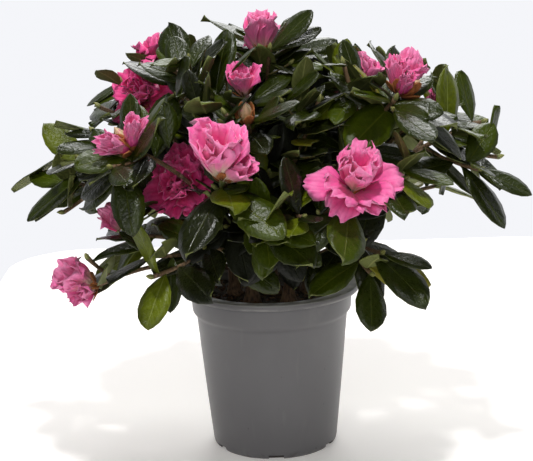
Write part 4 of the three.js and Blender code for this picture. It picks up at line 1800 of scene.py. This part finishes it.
@dataclass
class Wood:
    """The stems and boughs, with ridges and rings of old leaf scars in their bark."""

    growth: Growth
    sides: int = 14
    steps: int = 28
    ridge: float = 0.055
    scar: float = 0.10

    def _relief(self, rod: Template, length: float, seed: float) -> Array:
        """The bark's relief as a factor on the radius.

        Args:
            rod: The rod that the limb is bent from.
            length: The limb's length.
            seed: What makes this limb differ from the others.

        Returns:
            The factor at each of the rod's points.
        """
        along = rod.shares * length
        ridges = np.sin(3 * rod.turns + along * 0.16 + seed) * 0.6
        ridges += np.sin(5 * rod.turns - along * 0.23 + 2 * seed) * 0.4
        scars = np.maximum(0.0, np.sin(along * 0.55 + seed * 3 + np.sin(rod.turns + seed) * 0.5)) ** 8
        return 1 + self.ridge * ridges + self.scar * scars

    def build(self) -> None:
        """Builds and dresses the stems and boughs."""
        rod, gathered, habit = RodShape(self.sides, self.steps).template(), Gathering(), self.growth.habit
        for i, stem in enumerate(STEMS.values()):
            radii = self.growth.stem_radius(stem, rod.shares) * self._relief(rod, stem.height, i * 1.7)
            gathered.add(rod, bent(rod, self.growth.stem_curve(stem), radii))
        radii = habit.bough_radius + (habit.shoot_radius - habit.bough_radius) * rod.shares
        for i, limb in enumerate(self.growth.limbs):
            relief = self._relief(rod, limb.bough.length, i * 2.3)
            gathered.add(rod, bent(rod, limb.bough, radii * relief))
        bark = BarkFinish(paint(104, 78, 58), paint(150, 128, 104), paint(54, 38, 28))
        nodes = ["stem_" + name for name in STEMS] + ["bough_" + row.name for row in CROWN]
        dress("wood", gathered.mesh("wood"), [bark.material("bark")], nodes)


# The foliage and the flowers


@dataclass
class Foliage:
    """The twigs and leaves of all the masses, each kind joined apart.

    The greens are dealt out by how far a leaf lies from the crown's heart, out, up or down, and by how young
    it is: the near-black green paints shade deep inside, more lighter greens on the right side paint light
    shining through the leaves, and fewer lighter greens go high in the crown.
    """

    masses: list[Mass]
    seed: int = 4242
    breadth: float = 1.16
    reach: float = 191.0
    roll: float = 30
    bud_length: float = 7.5
    heart: float = 150
    spread: float = 150
    rise: float = 166
    drop: float = 40

    @property
    def nodes(self) -> list[str]:
        """The solids that the foliage stands for."""
        return ["mass_" + mass.name for mass in self.masses]

    def build_twigs(self) -> None:
        """Builds and dresses the shoots, with the swollen buds at their tips."""
        rod, gathered = RodShape(7, 8).template(), Gathering()
        bud = BudShape(width=0.5, belly=0.4, flutes=4).template()
        stream = Stream(self.seed)
        for shoot in (shoot for mass in self.masses for shoot in mass.shoots):
            scars = np.sin(rod.shares * shoot.curve.length * 0.9 + stream.next() * 6)
            radii = shoot.foot_radius + (shoot.tip_radius * 0.8 - shoot.foot_radius) * rod.shares
            radii = radii * (1 + 0.12 * np.maximum(0, scars) ** 6)
            gathered.add(rod, bent(rod, shoot.curve, radii), 0 if shoot.size == 1.0 else 1)
            root, up = shoot.curve.end - shoot.axis * 2, across(np.array((0.3, 0.8, 0.2)), shoot.axis)
            gathered.add(bud, placed(bud, root, shoot.axis, up, self.bud_length * shoot.size), 2)
        finishes = {
            "young_bark": BarkFinish(paint(112, 88, 60), paint(150, 132, 96), paint(70, 52, 36), 0.6),
            "green_bark": BarkFinish(paint(120, 112, 66), paint(150, 142, 92), paint(84, 70, 42), 0.55),
            "leaf_bud": BudFinish(paint(96, 104, 52), paint(150, 150, 84)),
        }
        materials = [finish.material(name) for name, finish in finishes.items()]
        dress("twigs", gathered.mesh("twigs"), materials, self.nodes)

    @staticmethod
    def shapes() -> list[Template]:
        """The leaf shapes that are dealt out."""
        shapes = (
            LeafShape(),
            LeafShape(width=0.46, fold=0.11, droop=0.15, twist=0.06),
            LeafShape(width=0.54, fold=0.07, droop=0.06, twist=-0.05, wave=0.012),
            LeafShape(width=0.44, fold=0.12, droop=0.20, wave=0.015),
            LeafShape(width=0.51, fold=0.06, droop=0.02, twist=0.04, wave=0.01),
        )
        return [shape.template() for shape in shapes]

    def _chances(self, leaf: Leaf) -> list[float]:
        """How often each green falls to a leaf, by where it stands in the crown and how young it is, with
        painted shade deep inside and painted light through the leaves on the right side.
        """
        x, y, z = leaf.root
        high = max((z - self.heart) / self.rise, (self.heart - z) / self.drop)
        outer = float(np.clip((math.hypot(math.hypot(x, y) / self.spread, high) - 0.4) / 0.34, 0, 1))
        young = (outer + leaf.youth) / 2
        # painted light: leaves on the crown's right side get more of the lighter greens, which stand in for
        # light shining through them
        sunny = float(np.clip(x / 110 - 0.4, 0, 1))
        # fewer of the lighter greens for leaves high in the crown, except on the right side
        high_damping = 1 - 0.75 * float(np.clip((z - 205) / 50, 0, 1)) * (1 - sunny)
        # the chances of the middle, fresh and golden greens: higher for young leaves, and higher on the
        # right side as painted light
        young_and_backlit = (14 + 16 * young + 20 * sunny, 3 + 15 * young + 12 * sunny, 0.5 + 2.5 * young)
        # the first chance deals the near-black painted shade to the leaves deep inside the crown
        return [160 * (1 - outer) ** 1.5, 46 - 36 * young, 32, *(chance * high_damping for chance in young_and_backlit)]

    def build_leaves(self) -> None:
        """Builds and dresses the leaves, one piece for each green."""
        shapes, stream = self.shapes(), Stream(self.seed + 2)
        gathered = {tint: Gathering() for tint in Tint}
        for leaf in (leaf for mass in self.masses for leaf in mass.leaves):
            tint = list(Tint)[min(len(Tint) - 1, stream.pick(self._chances(leaf)))]
            shape = shapes[int(stream.next() * len(shapes))]
            roll = math.radians(stream.spread(self.roll))
            up = leaf.up * math.cos(roll) + np.cross(leaf.up, leaf.along) * math.sin(roll)
            points = placed(shape, leaf.root, leaf.along, up, leaf.length * self.breadth)
            if np.abs(points[:, 0]).max() <= self.reach:
                gathered[tint].add(shape, points)
        uppers = {
            # a near-black green that paints the shade deep inside the crown
            Tint.INNER: LeafFinish(paint(13, 16, 5), paint(34, 38, 16), 0.4),
            Tint.DARK: LeafFinish(paint(20, 25, 3), paint(70, 78, 26)),
            Tint.DEEP: LeafFinish(paint(33, 42, 2), paint(84, 92, 28)),
            Tint.MIDDLE: LeafFinish(paint(52, 64, 3), paint(106, 112, 34), 0.2, 0.3),
            Tint.FRESH: LeafFinish(paint(84, 94, 6), paint(142, 150, 82), 0.24, 0.26),
            Tint.GOLDEN: LeafFinish(paint(118, 114, 22), paint(158, 156, 72), 0.28, 0.3),
        }
        under = UndersideFinish().material("leaf_underside")
        for tint, gathering in gathered.items():
            name, upper = "leaves_" + tint.value, uppers[tint].material("leaf_" + tint.value)
            dress(name, gathering.mesh(name), [upper, under], self.nodes)


class Petal(Enum):
    """The kinds of petals, each with the shapes that are dealt out."""

    BROAD = (
        PetalShape(1.02, 0.24, 0.5, 0.085, 2.4, 0.3),
        PetalShape(1.10, 0.14, 0.7, 0.095, 2.8, 1.7),
        PetalShape(0.94, 0.30, 0.4, 0.090, 2.6, 3.1),
        PetalShape(1.00, 0.06, 0.9, 0.100, 2.2, 4.4),
    )
    CUPPED = (
        PetalShape(0.98, 0.06, 2.0, 0.050, 1.7, 0.6),
        PetalShape(1.08, 0.00, 2.2, 0.060, 2.0, 2.2),
        PetalShape(0.92, 0.16, 1.8, 0.065, 1.9, 3.8),
    )
    RUFFLED = (
        PetalShape(0.94, 0.08, 1.4, 0.10, 2.0, 0.9),
        PetalShape(0.84, 0.00, 1.9, 0.12, 2.3, 2.4),
        PetalShape(1.02, 0.16, 1.1, 0.11, 2.1, 4.0),
        PetalShape(0.88, -0.06, 2.1, 0.10, 1.7, 5.3),
    )
    TIGHT = (PetalShape(0.56, 0.0, 3.0, 0.03, 1.5, 0.4), PetalShape(0.50, 0.05, 3.2, 0.04, 1.7, 2.0))


class Fitting(Enum):
    """The finishes of a flower's fittings, by their first slot. A scale takes one for each of its faces."""

    CALYX = 0
    SCALE = 2
    BUD = 4
    ANTHER = 5
    STAMEN = 6


@dataclass(frozen=True)
class PetalRing:
    """A ring of petals: their kind, count, lean and length, where they are rooted, and how far they nod."""

    kind: Petal
    count: int
    lean: float
    length: float
    root: float
    offset: float = 0.0
    nod: float = 0.0


BLOOM_RINGS: dict[Bloom, tuple[PetalRing, ...]] = {
    Bloom.OPEN: (
        PetalRing(Petal.BROAD, 5, 64, 32, 9, 0, 0.4),
        PetalRing(Petal.BROAD, 3, 42, 31, 10, 30, 0.25),
        PetalRing(Petal.RUFFLED, 4, 18, 33, 10, 10, 0.05),
        PetalRing(Petal.RUFFLED, 3, 7, 30, 11, 50),
    ),
    Bloom.HALF: (
        PetalRing(Petal.CUPPED, 3, 16, 28, 4),
        PetalRing(Petal.CUPPED, 3, 11, 31, 5, 60),
        PetalRing(Petal.RUFFLED, 3, 9, 30, 7, 20),
        PetalRing(Petal.RUFFLED, 2, 4, 26, 8, 80),
    ),
    Bloom.SMALL: (PetalRing(Petal.CUPPED, 4, 11, 21, 3), PetalRing(Petal.RUFFLED, 3, 7, 22, 4, 36)),
    Bloom.OPENING: (PetalRing(Petal.TIGHT, 4, 7, 27, 3), PetalRing(Petal.TIGHT, 3, 3, 28, 4, 36)),
    Bloom.BUD: (PetalRing(Petal.TIGHT, 3, 3, 15, 3),),
}


@dataclass
class Flowers:
    """The flower heads: ruffled petals, stamens, closed buds, stalks and papery scales."""

    masses: list[Mass]
    seed: int = 9091
    stamens: int = 7
    thread_radius: float = 0.35
    anther_length: float = 2.2

    def __post_init__(self) -> None:
        """Shapes the petals and buds that the heads share."""
        self._petals = {kind: [shape.template() for shape in kind.value] for kind in Petal}
        self._bud = BudShape(width=0.5, belly=0.45, flutes=5, fluting=0.13).template()
        self._grain = BudShape(width=0.6, belly=0.5, flutes=2).template()
        self._scale = LeafShape(width=0.5, fold=-0.12, droop=-0.12, thickness=0.03).template()
        self._rod = RodShape(6, 4).template()

    def _add_petals(self, gathered: Gathering, head: Head, stream: Stream) -> None:
        """Adds the rings of petals of one head.

        Args:
            gathered: Where they are gathered.
            head: The flower head.
            stream: Where their chances come from.
        """
        outward = unit(head.base * (1, 1, 0) + FRONT)
        for ring in BLOOM_RINGS[head.bloom]:
            axis = unit(head.axis + outward * ring.nod)
            for i in range(ring.count):
                azimuth = head.phase + ring.offset + i * 360 / ring.count + stream.spread(30)
                flare = stream.spread(10 + ring.lean * 0.25) + 26 * stream.next() ** 5
                flare *= 0.3 if ring.kind is Petal.TIGHT else 1.0
                along = leaning(axis, ring.lean + flare, azimuth)
                away = leaning(axis, 90, azimuth)
                up = across(-away, along)
                root = head.base + head.axis * ring.root * head.size + away * 1.3 * head.size
                shapes = self._petals[ring.kind]
                shape = shapes[int(stream.next() * len(shapes))]
                size = ring.length * head.size * stream.between(0.82, 1.08)
                gathered.add(shape, placed(shape, root, along, up, size))

    def _add_fittings(self, gathered: Gathering, head: Head, stream: Stream) -> None:
        """Adds the stalk, calyx, scales, closed bud and stamens of one head.

        Args:
            gathered: Where they are gathered.
            head: The flower head.
            stream: Where their chances come from.
        """
        base, axis, size = head.base, head.axis, head.size
        stalk = Curve(base - axis * 2, base + axis * 3, base + axis * 10 * size)
        radii = (1.3 + 0.8 * self._rod.shares**2) * size
        gathered.add(self._rod, bent(self._rod, stalk, radii), Fitting.CALYX.value)
        for i in range(5):
            along = leaning(axis, 24 + stream.spread(20), head.phase + i * 72)
            points = placed(self._scale, base + axis * 4 * size, along, across(axis, along), 8 * size)
            gathered.add(self._scale, points, Fitting.CALYX.value)
        closed = head.bloom in (Bloom.BUD, Bloom.OPENING)
        count, lean, away = (9, 28, 1.6) if closed else (6, 36, 0.8)
        for i in range(count):
            along = leaning(axis, lean + stream.spread(30), head.phase + i * GOLDEN_ANGLE)
            root = base + axis * stream.between(0, 4) + across(along, axis) * away
            points = placed(self._scale, root, along, across(axis, along), stream.between(9, 15))
            gathered.add(self._scale, points, Fitting.SCALE.value)
        if closed:
            length, kind = (19, Fitting.BUD) if head.bloom is Bloom.BUD else (21, Fitting.STAMEN)
            side = across(np.array((0.2, 0.9, 0.1)), axis)
            points = placed(self._bud, base + axis * 2, axis, side, length * size)
            gathered.add(self._bud, points, kind.value)
        if head.bloom is Bloom.OPEN:
            self._add_stamens(gathered, head, stream)

    def _add_stamens(self, gathered: Gathering, head: Head, stream: Stream) -> None:
        """Adds the stamens of an open head.

        Args:
            gathered: Where they are gathered.
            head: The flower head.
            stream: Where their chances come from.
        """
        foot = head.base + head.axis * 10 * head.size
        for i in range(self.stamens):
            along = leaning(head.axis, 8 + stream.next() * 16, i * GOLDEN_ANGLE)
            thread = Curve(foot, foot + head.axis * 9 * head.size, foot + along * 23 * head.size)
            gathered.add(self._rod, bent(self._rod, thread, self.thread_radius), Fitting.STAMEN.value)
            points = placed(self._grain, thread.end, along, across(UP, along), self.anther_length)
            gathered.add(self._grain, points, Fitting.ANTHER.value)

    def build(self) -> None:
        """Builds and dresses the flowers: the petals of each pink, and the fittings of all the heads."""
        stream = Stream(self.seed)
        petals = {pink: Gathering() for pink in Pink}
        fittings = Gathering()
        nodes: dict[Pink, set[str]] = {pink: set() for pink in Pink}
        for mass in self.masses:
            for head in mass.heads:
                self._add_petals(petals[head.pink], head, stream)
                self._add_fittings(fittings, head, stream)
                nodes[head.pink].add("mass_" + mass.name)
        faces = {
            Pink.BRIGHT: (
                PetalFinish(paint(236, 70, 146), paint(204, 30, 106), paint(246, 122, 180)),
                PetalFinish(paint(238, 106, 164), paint(214, 170, 150), paint(246, 142, 188)),
            ),
            Pink.PALE: (
                PetalFinish(paint(240, 84, 158), paint(214, 40, 118), paint(250, 142, 192)),
                PetalFinish(paint(243, 116, 172), paint(214, 204, 166), paint(250, 152, 196), 0.7),
            ),
            # painted shade: darker pinks for the flowers in shade
            Pink.DEEP: (
                PetalFinish(paint(224, 36, 120), paint(178, 14, 86), paint(240, 88, 156)),
                PetalFinish(paint(220, 58, 130), paint(180, 60, 100), paint(236, 104, 164)),
            ),
        }
        for pink, (inner, outer) in faces.items():
            name = "petals_" + pink.value
            finishes = [inner.material(name), outer.material(name + "_back")]
            dress(name, petals[pink].mesh(name), finishes, sorted(nodes[pink]))
        green = BudFinish(paint(92, 100, 52), paint(140, 142, 80)).material("calyx")
        brown = BudFinish(paint(128, 68, 32), paint(182, 112, 58), 0.6).material("bud_scale")
        cream = BudFinish(paint(166, 150, 92), paint(222, 190, 152)).material("flower_bud")
        anther = BudFinish(paint(96, 44, 60), paint(120, 60, 74)).material("anther")
        rose = BudFinish(paint(214, 60, 130), paint(236, 110, 170)).material("stamen")
        finishes = [green, green, brown, brown, cream, anther, rose]
        heads = sorted(set().union(*nodes.values()))
        dress("flower_fittings", fittings.mesh("flower_fittings"), finishes, heads)


# The stage


@dataclass(frozen=True)
class SoftLight:
    """A soft studio light: where it stands and looks, its size and its power."""

    name: str
    place: tuple[float, float, float]
    size: float
    power: float
    aim: tuple[float, float, float] = (0.0, 0.0, 0.16)


@dataclass
class Stage:
    """The pale table with its round corners, the pale surroundings, the lights and the camera."""

    table_size: tuple[float, float] = (0.65, 1.5)
    table_middle: tuple[float, float] = (0.037, -0.14)
    table_corner: float = 0.085
    table_thickness: float = 0.02
    table_steps: int = 96
    backdrop: float = 0.98
    gloom: float = 0.15
    aim: tuple[float, float, float] = (-0.0023, 0.0, 0.1604)
    distance: float = 1.080
    elevation: float = 13.32
    roll: float = -1.68
    lens: float = 99.8
    lights: tuple[SoftLight, ...] = (
        SoftLight("lamp", (0.04, -0.62, 2.1), 0.16, 28),
        SoftLight("back", (0.2, 1.6, 1.7), 1.3, 40),
        SoftLight("front", (-0.3, -2.2, 1.1), 1.4, 17),
    )

    def build(self) -> None:
        """Builds the stage."""
        self._table()
        for light in self.lights:
            self._light(light)
        self._world()
        self._camera()
        bpy.context.scene.view_settings.view_transform = "Standard"

    def _table(self) -> None:
        """The table top, with round corners."""
        shape, steps, corner = bmesh.new(), self.table_steps, self.table_corner
        half_step = Matrix.Rotation(math.pi / steps, 4, "Z")
        bmesh.ops.create_circle(shape, cap_ends=True, segments=steps, radius=corner, matrix=half_step)
        for vert in shape.verts:
            for axis in (0, 1):
                apart = self.table_size[axis] / 2 - corner
                vert.co[axis] += self.table_middle[axis] + math.copysign(apart, vert.co[axis])
        rim = [edge for edge in shape.edges if edge.is_boundary]
        skirt = bmesh.ops.extrude_edge_only(shape, edges=rim)["geom"]
        low = [part for part in skirt if isinstance(part, bmesh.types.BMVert)]
        bmesh.ops.translate(shape, verts=low, vec=(0, 0, -self.table_thickness))
        outward(shape)
        mesh = taken(shape, "table")
        mesh.materials.append(StageFinish(paint(249, 246, 243)).material("pale_table"))
        linked("table", mesh)

    @staticmethod
    def _light(light: SoftLight) -> None:
        """A soft square light."""
        data = bpy.data.lights.new(light.name, "AREA")
        data.size, data.energy = light.size, light.power
        lamp = linked(light.name, data)
        lamp.location = light.place
        lamp.rotation_euler = (Vector(light.aim) - Vector(light.place)).to_track_quat("-Z", "Y").to_euler()

    def _world(self) -> None:
        """A pale backdrop all round, and surroundings that light the plant from low behind it."""
        shader = Shader("studio", world=True)
        _, deep, high = shader.parts(shader.node("ShaderNodeTexCoord", {}, {}, "Generated"))
        glow = (deep - high * 0.9).step(-0.2, 0.8) * (self.backdrop - self.gloom) + self.gloom
        seen = shader.node("ShaderNodeLightPath", {}, {}, "Is Camera Ray")
        strength = shader.node("ShaderNodeMix", {}, {0: seen, 2: glow, 3: self.backdrop})
        colour = paint(247, 248, 252)
        bpy.context.scene.world = shader.finish({"Color": colour, "Strength": strength})

    def _camera(self) -> None:
        """The camera at the photograph's viewing angle."""
        data = bpy.data.cameras.new("camera")
        data.lens, data.sensor_width = self.lens, 36.0
        data.clip_start, data.clip_end = 0.05, 50.0
        camera, tilt = linked("camera", data), math.radians(self.elevation)
        camera.location = Vector(self.aim) + self.distance * Vector((0, -math.cos(tilt), math.sin(tilt)))
        look = (Vector(self.aim) - camera.location).to_track_quat("-Z", "Y")
        roll = Matrix.Rotation(math.radians(self.roll), 3, "Z")
        camera.rotation_euler = (look.to_matrix() @ roll).to_euler()
        bpy.context.scene.camera = camera


def main() -> None:
    """Builds the plant and its stage in order."""
    logging.basicConfig(level=logging.INFO, format="%(message)s")
    Stage().build()
    Pot().build()
    Peat().build()
    growth = Growth(Habit())
    Wood(growth).build()
    masses = growth.grow()
    foliage = Foliage(masses)
    foliage.build_twigs()
    foliage.build_leaves()
    Flowers(masses).build()


if __name__ == "__main__":
    main()
